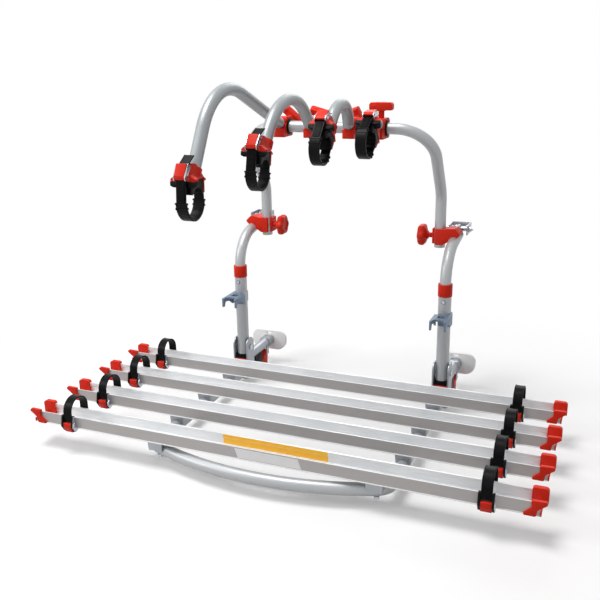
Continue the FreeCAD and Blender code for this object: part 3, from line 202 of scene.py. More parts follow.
plasticLooks = {
    # colour, roughness and shine, then the grain: its scale, depth, spread of tone and pale rubbed edges
    "redMoulded": dict(colour=(0.68, 0.020, 0.005), roughness=0.44, shine=0.18,
                       scale=1400, depth=0.08, spread=0.12, wear=0.02),
    "blackMoulded": dict(colour=(0.003, 0.003, 0.004), roughness=0.42, shine=0.10,
                         scale=1100, depth=0.16, spread=0.3, wear=0.012),
    "strapBlack": dict(colour=(0.003, 0.003, 0.004), roughness=0.36, shine=0.10,
                       scale=700, depth=0.12, spread=0.3, wear=0.012),
    "sleeveBlack": dict(colour=(0.006, 0.008, 0.010), roughness=0.5, shine=0.14,
                        scale=900, depth=0.2, spread=0.3, wear=0.012),
    "whiteMoulded": dict(colour=(0.93, 0.93, 0.93), roughness=0.4, shine=0.4,
                         scale=900, depth=0.05, spread=0.03, wear=0.0),
    "orangeFilm": dict(colour=(1.0, 0.52, 0.03), roughness=0.35, shine=0.4,
                       scale=500, depth=0.02, spread=0.06, wear=0.0),
    "whiteFilm": dict(colour=(0.95, 0.95, 0.95), roughness=0.35, shine=0.4,
                      scale=500, depth=0.02, spread=0.04, wear=0.0),
}
plasticGrain = dict(detail=2.0, cloudScale=24.0, cloudDetail=3.0, rubFrom=0.52, rubTo=0.62, rubShare=0.6,
                    rubTone=0.5, cloudRough=0.18, rubRough=0.08, bumpReach=0.0003)


def plastic(name):
    look = plasticLooks[name]
    vary = plasticGrain
    material, tree, shader, where = startMaterial(name)
    grain = tree.noise(where, (1, 1, 1), look["scale"], vary["detail"])
    clouds = tree.noise(where, (1, 1, 1), vary["cloudScale"], vary["cloudDetail"])
    edge = tree.add("ShaderNodeNewGeometry", out="Pointiness")
    stops = [(vary["rubFrom"], grey(0)), (vary["rubTo"], grey(1))]
    rubbed = tree.add("ShaderNodeValToRGB", [edge], stops=stops)
    rub = tree.add("ShaderNodeRGBToBW", [rubbed])
    worn = tuple(c + (vary["rubTone"] - c) * look["wear"] for c in look["colour"]) + (1.0,)
    roughness = look["roughness"] + (clouds - 0.5) * vary["cloudRough"] + rub * vary["rubRough"]
    tree.feed(shader, {"Base Color": tree.blend(rub * vary["rubShare"], toned(tree, clouds, look), worn),
                       "Specular IOR Level": look["shine"], "Roughness": roughness,
                       "Normal": bumped(tree, grain, look["depth"], vary["bumpReach"])})
    return material


finish = {name: metal(name) for name in metalLooks}
finish.update({name: plastic(name) for name in plasticLooks})
print("finishes made:", len(finish))


# Mesh helpers: shapes are drawn in millimetres in a bmesh and scaled when the piece is made

def addPiece(name, mesh, materials, body, slot, replaced=()):
    piece = bpy.data.objects.new(name, mesh)
    bpy.context.scene.collection.objects.link(piece)
    mesh.materials.clear()
    for material in materials:
        mesh.materials.append(finish[material])
    if replaced:
        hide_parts(*replaced)
    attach(piece, body)


def smoothed(mesh, angle):
    for polygon in mesh.polygons:
        polygon.use_smooth = True
    mesh.set_sharp_from_angle(angle=math.radians(angle))


def drawn(name, shape, materials, body, slot, replaced=(), bevel=0.0, segments=2, angle=35):
    # turns a bmesh in millimetres into a finished piece
    bmesh.ops.remove_doubles(shape, verts=shape.verts, dist=1e-4)
    bmesh.ops.recalc_face_normals(shape, faces=shape.faces)
    mesh = bpy.data.meshes.new(name)
    shape.to_mesh(mesh)
    shape.free()
    mesh.transform(Matrix.Scale(mm, 4))
    if bevel:
        mesh = bevelled(mesh, bevel, segments)
    smoothed(mesh, angle)
    mesh.name = name
    addPiece(name, mesh, materials, body, slot, replaced)


def bevelled(mesh, width, segments=2):
    carrier = bpy.data.objects.new("bevelCarrier", mesh)
    bpy.context.scene.collection.objects.link(carrier)
    edgeRound = carrier.modifiers.new("edgeRound", "BEVEL")
    edgeRound.width = width * mm
    edgeRound.segments = segments
    edgeRound.limit_method = "ANGLE"
    edgeRound.angle_limit = math.radians(sharpFrom)
    edgeRound.miter_outer = "MITER_ARC"
    return plainMesh(carrier)


def plainMesh(carrier):
    # what the modifiers give, as a mesh of its own; the carrier goes away
    depsgraph = bpy.context.evaluated_depsgraph_get()
    mesh = bpy.data.meshes.new_from_object(carrier.evaluated_get(depsgraph))
    carrier.modifiers.clear()
    bpy.data.objects.remove(carrier)
    return mesh


def nodeShape(node):
    # a merged copy of a CAD node's triangles with its flat faces joined
    shape = bmesh.new()
    shape.from_mesh(nodes[node].data)
    bmesh.ops.remove_doubles(shape, verts=shape.verts, dist=2e-6)
    bmesh.ops.dissolve_limit(shape, angle_limit=math.radians(0.6), verts=shape.verts, edges=shape.edges)
    return shape


def softened(node, bevel, materials, paint=None, segments=2, name=None, keep=None):
    # a copy of a CAD node with rounded edges; paint picks a material by a face's place, keep picks islands
    shape = nodeShape(node)
    if keep:
        for island in islands(shape):
            if not keep(island):
                bmesh.ops.delete(shape, geom=island, context="VERTS")
    mesh = bpy.data.meshes.new(node)
    shape.to_mesh(mesh)
    shape.free()
    mesh = bevelled(mesh, bevel, segments)
    smoothed(mesh, sharpFrom)
    addPiece(name or node + "Shell", mesh, materials, bodyOf[node], slotOf[node], (node,))
    if paint:
        for polygon in mesh.polygons:
            polygon.material_index = paint(polygon.center / mm, polygon.normal)


def islands(shape):
    left = set(shape.verts)
    found = []
    while left:
        start = left.pop()
        island, edge = [start], [start]
        while edge:
            for link in edge.pop().link_edges:
                for vert in link.verts:
                    if vert in left:
                        left.discard(vert)
                        island.append(vert)
                        edge.append(vert)
        found.append(island)
    return found


def cornered(points, step):
    # a smooth line through (y, z, radius) corners, as (y, z) points
    line = []
    count = len(points)
    for i, (y, z, radius) in enumerate(points):
        here = Vector((y, z))
        if i in (0, count - 1) or radius <= 0:
            line.append(here)
            continue
        back = (Vector(points[i - 1][:2]) - here).normalized()
        ahead = (Vector(points[i + 1][:2]) - here).normalized()
        half = back.angle(ahead) / 2
        reach = radius / math.tan(half)
        centre = here + (back + ahead).normalized() * (radius / math.sin(half))
        first, last = here + back * reach - centre, here + ahead * reach - centre
        sweep = first.angle_signed(last)
        turns = max(3, int(math.degrees(abs(sweep)) / step))
        for k in range(turns + 1):
            line.append(centre + Matrix.Rotation(-sweep * k / turns, 2) @ first)
    return line


def normalsOf(line):
    result = []
    for i in range(len(line)):
        along = (line[min(i + 1, len(line) - 1)] - line[max(i - 1, 0)]).normalized()
        result.append(Vector((-along.y, along.x)))
    return result


def addSkin(shape, rings, material):
    # joins rings of vertices into a closed skin with flat ends
    count = len(rings[0])
    faces = [shape.faces.new(rings[0]), shape.faces.new(list(reversed(rings[-1])))]
    for first, second in zip(rings, rings[1:]):
        for k in range(count):
            after = (k + 1) % count
            faces.append(shape.faces.new((first[k], first[after], second[after], second[k])))
    for face in faces:
        face.material_index = material


def addBand(shape, line, section, x, place=None, material=0):
    # sweeps a closed section of (across, out) points along a line in the plane of y and z
    rings = []
    for point, normal in zip(line, normalsOf(line)):
        ring = []
        for across, out in section:
            at = Vector((x + across, point.x + normal.x * out, point.y + normal.y * out))
            ring.append(shape.verts.new(place @ at if place else at))
        rings.append(ring)
    addSkin(shape, rings, material)


def strapSection(width, thickness, rim=2.2, rise=0.7, corner=0.8):
    # a band with a raised rim along each edge of its outer face
    half, deep = width / 2, thickness / 2
    slope, high = 0.6, deep + rise
    return [(-half + corner, -deep), (half - corner, -deep), (half, -deep + corner),
            (half, high - corner * 0.6), (half - corner * 0.7, high), (half - rim, high),
            (half - rim - slope, deep), (-half + rim + slope, deep), (-half + rim, high),
            (-half + corner * 0.7, high), (-half, high - corner * 0.6), (-half, -deep + corner)]


def flatSection(width, thickness, corner=1.0):
    half, deep = width / 2, thickness / 2
    return [(-half + corner, -deep), (half - corner, -deep), (half, -deep + corner), (half, deep - corner),
            (half - corner, deep), (-half + corner, deep), (-half, deep - corner), (-half, -deep + corner)]


def addLathe(shape, profile, place, steps=32, lobes=None, material=0):
    # turns (radius, height) points about z and puts them at a place; lobes gives a factor for each point
    rings = []
    for radius, height in profile:
        ring = []
        for k in range(steps):
            angle = 2 * math.pi * k / steps
            reach = radius * (lobes(angle, radius) if lobes else 1)
            at = Vector((reach * math.cos(angle), reach * math.sin(angle), height))
            ring.append(shape.verts.new(place @ at))
        rings.append(ring)
    addSkin(shape, rings, material)


def addBlock(shape, sizes, centre, place=None, material=0):
    made = bmesh.ops.create_cube(shape, size=1.0)["verts"]
    for vert in made:
        at = Vector((vert.co.x * sizes[0], vert.co.y * sizes[1], vert.co.z * sizes[2])) + Vector(centre)
        vert.co = place @ at if place else at
    for vert in made:
        for face in vert.link_faces:
            face.material_index = material


def facing(axis, at):
    # a placement whose z runs along an axis
    return Matrix.Translation(Vector(at)) @ Vector(axis).to_track_quat("Z", "Y").to_matrix().to_4x4()


# Geometry Nodes: ribs that follow a line, and heads of screws and bolts

def newTree(name, inputs):
    group = bpy.data.node_groups.new(name, "GeometryNodeTree")
    group.interface.new_socket("Geometry", in_out="INPUT", socket_type="NodeSocketGeometry")
    kinds = {float: "NodeSocketFloat", int: "NodeSocketInt", tuple: "NodeSocketVector"}
    for label, value in inputs.items():
        socket = group.interface.new_socket(label, in_out="INPUT", socket_type=kinds[type(value)])
        socket.default_value = value
    group.interface.new_socket("Geometry", in_out="OUTPUT", socket_type="NodeSocketGeometry")
    tree = Tree(group)
    start = tree.nodes.new("NodeGroupInput")
    return group, tree, {socket.name: Wire(tree, socket) for socket in start.outputs if socket.name}


def closeTree(tree, geometry, material):
    real = tree.add("GeometryNodeRealizeInstances", [geometry])
    dressed = tree.add("GeometryNodeSetMaterial", {"Geometry": real, "Material": finish[material]})
    tree.feed(tree.nodes.new("NodeGroupOutput"), [dressed])


def ribTree(material):
    group, tree, given = newTree("ribsAlongLine", {"Spacing": 0.003, "Rib": (0.02, 0.001, 0.001)})
    line = tree.add("GeometryNodeMeshToCurve", {"Mesh": given["Geometry"]})
    points = tree.add("GeometryNodeResampleCurve", {"Curve": line, "Length": given["Spacing"]}, mode="LENGTH")
    along = tree.add("GeometryNodeInputTangent")
    upright = tree.add("FunctionNodeAlignRotationToVector", {"Vector": along}, axis="Z")
    across = tree.add("FunctionNodeAlignRotationToVector", {"Rotation": upright, "Vector": (1.0, 0.0, 0.0)},
                      axis="X", pivot_axis="Z")
    rib = tree.add("GeometryNodeMeshCube", {"Size": given["Rib"]})
    copies = tree.add("GeometryNodeInstanceOnPoints", {"Points": points, "Instance": rib, "Rotation": across})
    closeTree(tree, copies, material)
    return group


def headTree(material):
    group, tree, given = newTree("fastenerHeads", {"Sides": 6, "Head Radius": 0.007, "Head Height": 0.0045,
                                                   "Washer Radius": 0.009, "Washer Height": 0.0016,
                                                   "Crown": 0.8})
    head = tree.add("GeometryNodeMeshCone", {"Vertices": given["Sides"], "Depth": given["Head Height"],
                                             "Radius Bottom": given["Head Radius"],
                                             "Radius Top": given["Head Radius"] * given["Crown"]})
    lifted = tree.add("ShaderNodeCombineXYZ", [0.0, 0.0, given["Washer Height"]])
    headUp = tree.add("GeometryNodeTransform", {"Geometry": head, "Translation": lifted})
    washer = tree.add("GeometryNodeMeshCone", {"Vertices": 28, "Radius Bottom": given["Washer Radius"],
                                               "Radius Top": given["Washer Radius"] * 0.93,
                                               "Depth": given["Washer Height"]})
    join = tree.nodes.new("GeometryNodeJoinGeometry")
    for part in (headUp, washer):
        tree.links.new(part.socket, join.inputs[0])
    axis = tree.add("GeometryNodeInputNamedAttribute", ["axis"], data_type="FLOAT_VECTOR")
    turned = tree.add("FunctionNodeAlignRotationToVector", {"Vector": axis}, axis="Z")
    copies = tree.add("GeometryNodeInstanceOnPoints", {"Points": given["Geometry"], "Rotation": turned,
                                                       "Instance": Wire(tree, join.outputs[0])})
    closeTree(tree, copies, material)
    return group


def grown(name, carrierMesh, group, values):
    # runs a tree on a mesh and returns the plain result
    carrier = bpy.data.objects.new(name, carrierMesh)
    bpy.context.scene.collection.objects.link(carrier)
    growth = carrier.modifiers.new(name, "NODES")
    growth.node_group = group
    for item in group.interface.items_tree:
        if item.in_out == "INPUT" and item.name in values:
            growth[item.identifier] = values[item.name]
    mesh = plainMesh(carrier)
    mesh.name = name
    return mesh


def lineMesh(lines):
    # edge chains through points in millimetres
    verts, edges = [], []
    for line in lines:
        base = len(verts)
        verts += [tuple(c * mm for c in point) for point in line]
        edges += [(base + k, base + k + 1) for k in range(len(line) - 1)]
    mesh = bpy.data.meshes.new("lines")
    mesh.from_pydata(verts, edges, [])
    return mesh


def heads(name, places, values, body, material="brightSteel", sharpAngle=30):
    # screw or bolt heads at (point, axis) places, with their sizes as the tree's inputs
    mesh = bpy.data.meshes.new(name + "Points")
    mesh.from_pydata([tuple(c * mm for c in point) for point, axis in places], [], [])
    axes = mesh.attributes.new("axis", "FLOAT_VECTOR", "POINT")
    for item, (point, axis) in zip(axes.data, places):
        item.vector = axis
    made = grown(name, mesh, darkHeads if material == "darkChrome" else steelHeads, values)
    smoothed(made, sharpAngle)
    addPiece(name, made, [material], body, "stainless")


blackRibs = ribTree("strapBlack")
steelHeads = headTree("brightSteel")
darkHeads = headTree("darkChrome")


# Stage: floor, world, lamps and the camera

floorLook = dict(drop=0.006, size=40.0, colour=0.80, roughness=0.9, shine=0.1, lift=0.16, bounce=0.45,
                 middle=(0.0, -0.45), whiteFrom=0.7, whiteAt=1.3)
worldLook = dict(light=0.40, seen=1.0)
lamps = {
    # place, aim, size, power, colour
    "topLamp": ((-0.7, -0.9, 2.9), (0.0, -0.4, 0.1), 1.5, 62, (1.0, 0.99, 0.98)),
    "backLamp": ((-0.3, 2.6, 2.1), (0.0, -0.4, 0.2), 2.0, 22, (0.97, 0.99, 1.0)),
    "leftLamp": ((-2.4, -2.2, 1.7), (0.0, -0.4, 0.3), 1.1, 26, (1.0, 1.0, 1.0)),
}
cameraLook = dict(place=(0.728, -2.222, 0.876), yaw=22.59, pitch=17.47, roll=-1.09, lens=47.95, sensor=36)


def seenRays(tree):
    path = tree.nodes.new("ShaderNodeLightPath")
    labels = ("Is Camera Ray", "Is Glossy Ray", "Is Transmission Ray")
    camera, glossy, through = (Wire(tree, path.outputs[label]) for label in labels)
    return (camera + glossy + through) > 0.5


def makeFloor():
    # grey round the object with its shadow, white farther out; a darker grey lights the object from below
    look = floorLook
    half = look["size"] / 2
    level = cadBox[0][2] - look["drop"]
    mesh = bpy.data.meshes.new("floor")
    corners = [(x * half, y * half, level) for x, y in ((-1, -1), (1, -1), (1, 1), (-1, 1))]
    mesh.from_pydata(corners, [], [(0, 1, 2, 3)])
    floor = bpy.data.objects.new("floor", mesh)
    bpy.context.scene.collection.objects.link(floor)
    material, tree, shader, where = startMaterial("paleFloor")
    tree.feed(shader, {"Base Color": grey(look["colour"]), "Roughness": look["roughness"],
                       "Specular IOR Level": look["shine"]})
    lift = tree.add("ShaderNodeEmission", {"Color": grey(1.0), "Strength": look["lift"]})
    lifted = tree.add("ShaderNodeAddShader", [Wire(tree, shader.outputs[0]), lift])
    middle = look["middle"] + (level,)
    reach = tree.add("ShaderNodeVectorMath", [where, middle], out=1, operation="DISTANCE")
    away = tree.add("ShaderNodeMapRange", {"Value": reach, "From Min": look["whiteFrom"],
                                           "From Max": look["whiteAt"]}, interpolation_type="SMOOTHSTEP")
    white = tree.add("ShaderNodeEmission", {"Color": grey(1.0), "Strength": 1.0})
    backdrop = tree.add("ShaderNodeMixShader", [away, lifted, white])
    bounce = tree.add("ShaderNodeBsdfDiffuse", {"Color": grey(look["bounce"])})
    seen = tree.add("ShaderNodeMixShader", [seenRays(tree), bounce, backdrop])
    tree.links.new(seen.socket, tree.nodes["Material Output"].inputs["Surface"])
    mesh.materials.append(material)


def makeWorld():
    # white where the camera sees it, dimmer as a light
    look = worldLook
    world = bpy.data.worlds.new("studio")
    bpy.context.scene.world = world
    world.use_nodes = True
    tree = Tree(world.node_tree)
    strength = look["light"] + seenRays(tree) * (look["seen"] - look["light"])
    tree.feed(tree.nodes["Background"], {"Color": grey(1.0), "Strength": strength})


def makeLamps():
    for name, (place, aim, size, power, colour) in lamps.items():
        data = bpy.data.lights.new(name, "AREA")
        data.shape = "DISK"
        data.size = size
        data.energy = power
        data.color = colour
        lamp = bpy.data.objects.new(name, data)
        lamp.location = place
        lamp.rotation_euler = (Vector(aim) - Vector(place)).to_track_quat("-Z", "Y").to_euler()
        bpy.context.scene.collection.objects.link(lamp)


def makeCamera():
    look = cameraLook
    yaw, pitch, roll = (math.radians(look[key]) for key in ("yaw", "pitch", "roll"))
    forward = Vector((-math.sin(yaw) * math.cos(pitch), math.cos(yaw) * math.cos(pitch), -math.sin(pitch)))
    level = Vector((math.cos(yaw), math.sin(yaw), 0))
    upright = level.cross(forward)
    right = level * math.cos(roll) + upright * math.sin(roll)
    up = upright * math.cos(roll) - level * math.sin(roll)
    data = bpy.data.cameras.new("camera")
    data.lens = look["lens"]
    data.sensor_width = look["sensor"]
    camera = bpy.data.objects.new("camera", data)
    turn = Matrix((right, up, -forward)).transposed().to_4x4()
    camera.matrix_world = Matrix.Translation(look["place"]) @ turn
    bpy.context.scene.collection.objects.link(camera)
    bpy.context.scene.camera = camera


makeFloor()
makeWorld()
makeLamps()
makeCamera()
bpy.context.scene.view_settings.view_transform = "Standard"
print("stage and camera stand")


# Tubes and other bare metal keep their CAD meshes

def dress(node, material):
    data = nodes[node].data
    data.materials.clear()
    data.materials.append(finish[material])


for node in ("lower_posts", "upper_posts", "hoop", "platform_frame"):
    dress(node, "satinTube")
for arm in armNames:
    dress(arm + "_tube", "armTube")

channelLook = dict(bevel=0.45, lipHeight=2.2, lipDepth=2.5, faceDepth=3.0)


def railLightAndShadePaint(rail):
    # painted light on one aluminium: a painted highlight on the lip along the lower edge, painted shade on the
    # outer front face, and a lit copy on all the rest
    look = channelLook
    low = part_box(rail)[0]

    def paint(centre, normal):
        fromFront = centre.y - low.y / mm
        if centre.z < low.z / mm + look["lipHeight"] and fromFront < look["lipDepth"]:
            return 2
        return 1 if normal.y < -0.5 and fromFront < look["faceDepth"] else 0

    return paint


# each rail gets painted shade on its outer front face and a painted highlight on its lower lip
for rail in railNames:
    softened(rail, channelLook["bevel"], ["railLitInside", "railShadedFace", "railLipHighlight"], paint=railLightAndShadePaint(rail))
print("rails done")

# Cast, pressed and moulded parts: the CAD shapes with rounded edges

footLook = dict(postX=303.5, postY=-194.0, width=34.0, depth=36.0, bandTop=-13.0, bandLow=-29.0, proud=0.4,
                bandBevel=0.8, slack=0.6, topSlack=1.0)


def footPaint(centre, normal):
    # the blocks under the posts are black
    look = footLook
    across = abs(abs(centre.x) - look["postX"]) < look["width"] / 2 + look["slack"]
    along = abs(centre.y - look["postY"]) < look["depth"] / 2 + look["slack"]
    return 1 if across and along and centre.z < look["topSlack"] else 0


def footBands():
    look = footLook
    shape = bmesh.new()
    tall = look["bandTop"] - look["bandLow"]
    for x in (-look["postX"], look["postX"]):
        addBlock(shape, (look["width"] + 2 * look["proud"], look["depth"] + 2 * look["proud"], tall),
                 (x, look["postY"], look["bandLow"] + tall / 2))
    drawn("footBands", shape, ["redMoulded"], "base", "red_plastic", bevel=look["bandBevel"])


roundings = {
    # the rounding of a node's edges in millimetres, its material and the steps of a rounding
    "latch_blocks": (1.4, "blackMoulded", 2),
    "post_collars": (0.9, "redMoulded", 2),
    "frame_hooks": (1.1, "blueGreyCast", 2),
    "upper_brackets": (0.7, "zincPlate", 2),
    "leg_clamps": (2.2, "redMoulded", 3),
    "platform_forks": (0.9, "zincPlate", 2),
    "rail_saddles": (1.0, "zincPlate", 2),
    "rail_end_caps": (1.3, "redMoulded", 3),
    "release_lever_left": (1.2, "redMoulded", 2),
    "release_lever_right": (1.2, "redMoulded", 2),
}
for arm in armNames:
    roundings[arm + "_bush"] = (0.8, "blackMoulded", 2)
    roundings[arm + "_clamp"] = (2.0, "redMoulded", 3)

softened("wall_pads", 2.4, ["whiteMoulded"], segments=3)
softened("post_feet", 1.2, ["zincPlate", "blackMoulded"], paint=footPaint)
footBands()
for node, (bevel, material, steps) in roundings.items():
    softened(node, bevel, [material], segments=steps)
print("clamps, feet and caps done")


# Rails: wheel straps, buckles with plates and levers, label strips

railLook = dict(front=-748.0, pitch=147.7, width=56.0, lip=2.0)
wheelStrapLook = dict(reach=522.0, width=24.0, thickness=3.0, standOff=4.0, rise=45.0, low=-12.0, skin=0.3,
                      bendSlack=0.5, rimShare=0.4, bendStep=5.0,
                      rim=dict(width=9.0, thickness=1.0, corner=0.3, above=8.0, inside=12.0),
                      anchor=dict(narrower=1.0, depth=3.0, height=9.0, out=1.4, level=-6.0),
                      teeth=dict(low=-9, high=19, step=3, out=1.6),
                      ribs={"Spacing": 0.0026, "Rib": (0.018, 0.0016, 0.0012)})
buckleLook = dict(bevel=0.6, leverBevel=0.8, side=17.2, sheet=1.3, pinOut=8.5, pinDrop=20.0, headOut=1.1,
                  head={"Sides": 16, "Head Radius": 0.0026, "Head Height": 0.0008,
                        "Washer Radius": 0.0032, "Washer Height": 0.0004})


def railFront(k):
    return railLook["front"] + k * railLook["pitch"]


def wheelStraps():
    look = wheelStrapLook
    rim, anchor, toothed = look["rim"], look["anchor"], look["teeth"]
    shape = bmesh.new()
    lines = []
    thick = look["thickness"]
    back = railLook["width"]
    for k in range(len(railNames)):
        front = railFront(k)
        frontY = front - look["standOff"] - thick / 2
        backY = front + back + railLook["lip"] + thick / 2 + look["skin"]
        radius = (backY - frontY) / 2 - look["bendSlack"]
        top = look["rise"] - thick / 2 - 2 * look["skin"]
        line = cornered([(frontY, look["low"], 0), (frontY, top, radius), (backY, top, radius),
                         (backY, look["low"], 0)], look["bendStep"])
        for side in (-1, 1):
            x = side * look["reach"]
            addBand(shape, line, strapSection(look["width"], thick - look["rimShare"]), x)
            addBlock(shape, (look["width"] - anchor["narrower"], anchor["depth"], anchor["height"]),
                     (x, front + back + anchor["out"], anchor["level"]))
            addBand(shape, [p for p in line if p.y > rim["above"] and p.x < frontY + rim["inside"]],
                    flatSection(rim["width"], rim["thickness"], rim["corner"]), x)
            levels = range(toothed["low"], toothed["high"], toothed["step"])
            lines.append([(x, frontY - toothed["out"], z) for z in levels])
    teeth = grown("wheelStrapTeeth", lineMesh(lines), blackRibs, look["ribs"])
    drawn("wheelStraps", shape, ["strapBlack"], "platform", "strap_plastic", ("rail_straps",))
    addPiece("wheelStrapTeeth", teeth, ["strapBlack"], "platform", "strap_plastic")


def buckles():
    look = buckleLook
    sides = [x + look["side"] for x in (-wheelStrapLook["reach"], wheelStrapLook["reach"])]

    def paint(centre, normal):
        # the plate on each buckle's right side is steel
        return 1 if any(0 < centre.x - side < look["sheet"] for side in sides) else 0

    softened("rail_buckles", look["bevel"], ["blackMoulded", "brightSteel"], paint=paint)
    for rail in railNames:
        softened(rail + "_levers", look["leverBevel"], ["redMoulded"])
    places = []
    for k in range(len(railNames)):
        for side in sides:
            pin = (side + look["headOut"], railFront(k) - look["pinOut"], -look["pinDrop"])
            places.append((pin, (1, 0, 0)))
    heads("bucklePins", places, look["head"], "platform")


labelLook = dict(thickness=0.3, edge=0.1,
                 orange=dict(middle=20.5, width=268.0, y=-694.6, step=2.5, high=-1.5, turn=-10.2, slope=0.8,
                             low=-26.5),
                 white=dict(y=-748.2, corners=[(-57, -3), (102, -3), (110, -26.5), (-49, -26.5)]))


def labels():
    # two plain film strips on the outermost rail, one bent over the back wall's bead
    thick = labelLook["thickness"]
    look = labelLook["orange"]
    shape = bmesh.new()
    bead = look["y"] - look["step"]
    line = [Vector((bead, look["high"])), Vector((bead, look["turn"])),
            Vector((look["y"], look["turn"] - look["slope"])), Vector((look["y"], look["low"]))]
    addBand(shape, line, flatSection(look["width"], thick, labelLook["edge"]), look["middle"])
    drawn("orangeLabel", shape, ["orangeFilm"], "platform", slotOf["wall_pads"])
    look = labelLook["white"]
    shape = bmesh.new()
    rings = [[shape.verts.new((x, y, z)) for x, z in look["corners"]] for y in (look["y"] - thick, look["y"])]
    addSkin(shape, rings, 0)
    drawn("whiteLabel", shape, ["whiteFilm"], "platform", slotOf["wall_pads"])


wheelStraps()
buckles()
labels()
print("wheel straps, buckles and labels done")


# Screws and bolts

fastenerLook = dict(postFront=17.5, screwLevel=226.0, forkOut=23.0, forkLevel=-58.0,
                    screw={"Sides": 24, "Head Radius": 0.0048, "Head Height": 0.0014, "Crown": 0.55,
                           "Washer Radius": 0.006, "Washer Height": 0.0005},
                    bolt={"Head Radius": 0.0076, "Head Height": 0.0036, "Washer Radius": 0.0095})


def fasteners():
    look = fastenerLook
    postX, postY = footLook["postX"], footLook["postY"]
    screws, forks = [], []
    for x in (-postX, postX):
        screws.append(((x, postY - look["postFront"], look["screwLevel"]), (0, -1, 0)))
        for side in (-1, 1):
            forks.append(((x + side * look["forkOut"], postY, look["forkLevel"]), (side, 0, 0)))
    for bolt in ("post_fasteners", "bracket_bolts", "fork_bolts", "rail_bolts"):
        dress(bolt, "brightSteel")
    heads("postScrews", screws, look["screw"], "base", "darkChrome")
    heads("forkBoltHeads", forks, look["bolt"], "platform")


fasteners()
print("fasteners done")


# Knobs on the leg clamps: lobed heads on a conical hub

knobLook = dict(radius=31.0, lobes=6, depth=0.15, smoothTo=0.45, lobedFrom=0.85, offset=36.0, stemFrom=15.3,
                headSteps=96, stemSteps=32, ringSteps=40, sharpAngle=50,
                hoopX=261.0, hoopY=-88.0, level=378.0,
                head=[(9, -1), (15, 0), (23, 2.5), (28.5, 5), (30.6, 8), (31, 12), (30.6, 17), (28.5, 21),
                      (25, 23.4), (20, 24), (17, 23), (15.5, 21), (12, 20.5), (6, 20.5)],
                stem=[(6.4, 0), (7, 0.6), (7, 21)],
                ring=[(10.5, 16.6), (11.5, 17.2), (11.5, 19.2), (10.5, 20)])


def legKnob(side, sign):
    look = knobLook
    shape = bmesh.new()
    place = facing((-sign, 0, 0), (sign * (look["hoopX"] - look["offset"]), look["hoopY"], look["level"]))
    stem = facing((-sign, 0, 0), (sign * (look["hoopX"] - look["stemFrom"]), look["hoopY"], look["level"]))

    def lobes(angle, radius):
        rise = (radius / look["radius"] - look["smoothTo"]) / (look["lobedFrom"] - look["smoothTo"])
        grip = max(0.0, min(1.0, rise))
        return 1 - look["depth"] * grip * (0.5 - 0.5 * math.cos(look["lobes"] * angle))

    addLathe(shape, look["head"], place, look["headSteps"], lobes)
    addLathe(shape, look["stem"], stem, look["stemSteps"])
    addLathe(shape, look["ring"], stem, look["ringSteps"], material=1)
    node = "leg_knob_" + side
    drawn("legKnob" + side.capitalize(), shape, ["redMoulded", "blackMoulded"], node, "red_plastic", (node,),
          angle=look["sharpAngle"])


legKnob("left", -1)
legKnob("right", 1)
print("leg knobs done")


# T handles on the arm clamps

handleLook = dict(length=61.0, height=20.0, depth=18.0, neck=19.0, stem=7.5, seat=26.0, gap=0.3, bevel=1.5,
                  hub=(9.0, 12.0, 2.0), corner=(3.0, 3.0), shoulder=(4.0, 5.0), crown=(8.0, 0.5), foot=1.0,
                  recess=(5.0, 1.2, 5.0), recessIn=13.0, recessProud=0.1, tipShare=0.96, steps=28,
                  turns=dict(arm_1=50, arm_2=20, arm_3=70, arm_4=0),
                  leans=dict(arm_1=64, arm_2=60, arm_3=70, arm_4=0))


def handlePlace(arm):
    # the foot of the handle's bar, past its neck on the leaning screw
    look = handleLook
    low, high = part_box(arm + "_bush")
    lean = math.radians(look["leans"][arm])
    top = look["seat"] + look["gap"]
    if lean > 0:
        top = (look["seat"] + look["stem"] * math.cos(lean)) / math.sin(lean) + look["gap"]
    return (Matrix.Translation((low + high) / 2 / mm) @ Matrix.Rotation(-lean, 4, "X")
            @ Matrix.Translation((0, 0, top + look["neck"]))
            @ Matrix.Rotation(math.radians(look["turns"][arm]), 4, "Z"))


def handle(arm):
    look = handleLook
    place = handlePlace(arm)
    shape = bmesh.new()
    half, deep, tall = look["length"] / 2, look["depth"] / 2, look["height"]
    hubIn, hubOut, hubDrop = look["hub"]
    cornerIn, cornerUp = look["corner"]
    shoulderIn, shoulderDrop = look["shoulder"]
    crownHalf, crownRise = look["crown"]
    right = [(hubIn, -hubDrop), (hubOut, 0), (half - cornerIn, 0), (half, cornerUp),
             (half, tall - shoulderDrop), (half - shoulderIn, tall - crownRise), (crownHalf, tall)]
    outline = right + [(-x, z) for x, z in reversed(right)]
    rings = [[shape.verts.new(place @ Vector((x, y, z))) for x, z in outline] for y in (-deep, deep)]
    addSkin(shape, rings, 0)
    stem, neck, foot = look["stem"], look["neck"], look["foot"]
    addLathe(shape, [(stem * look["tipShare"], -neck), (stem, -neck + foot), (stem, -2 * foot),
                     (stem + 2 * foot, foot)], place, look["steps"])
    for side in (-1, 1):
        at = (-half + look["recessIn"], side * (deep + look["recessProud"]), tall / 2)
        addBlock(shape, look["recess"], at, place, material=1)
    node = arm + "_knob"
    drawn(arm + "Handle", shape, ["redMoulded", "blackMoulded"], node, "red_plastic", (node,),
          bevel=look["bevel"], segments=3)


for arm in armNames:
    handle(arm)
print("handles done")


# Grips: red housing, ribbed jaw, strap loop with a sleeve, ratchet lever

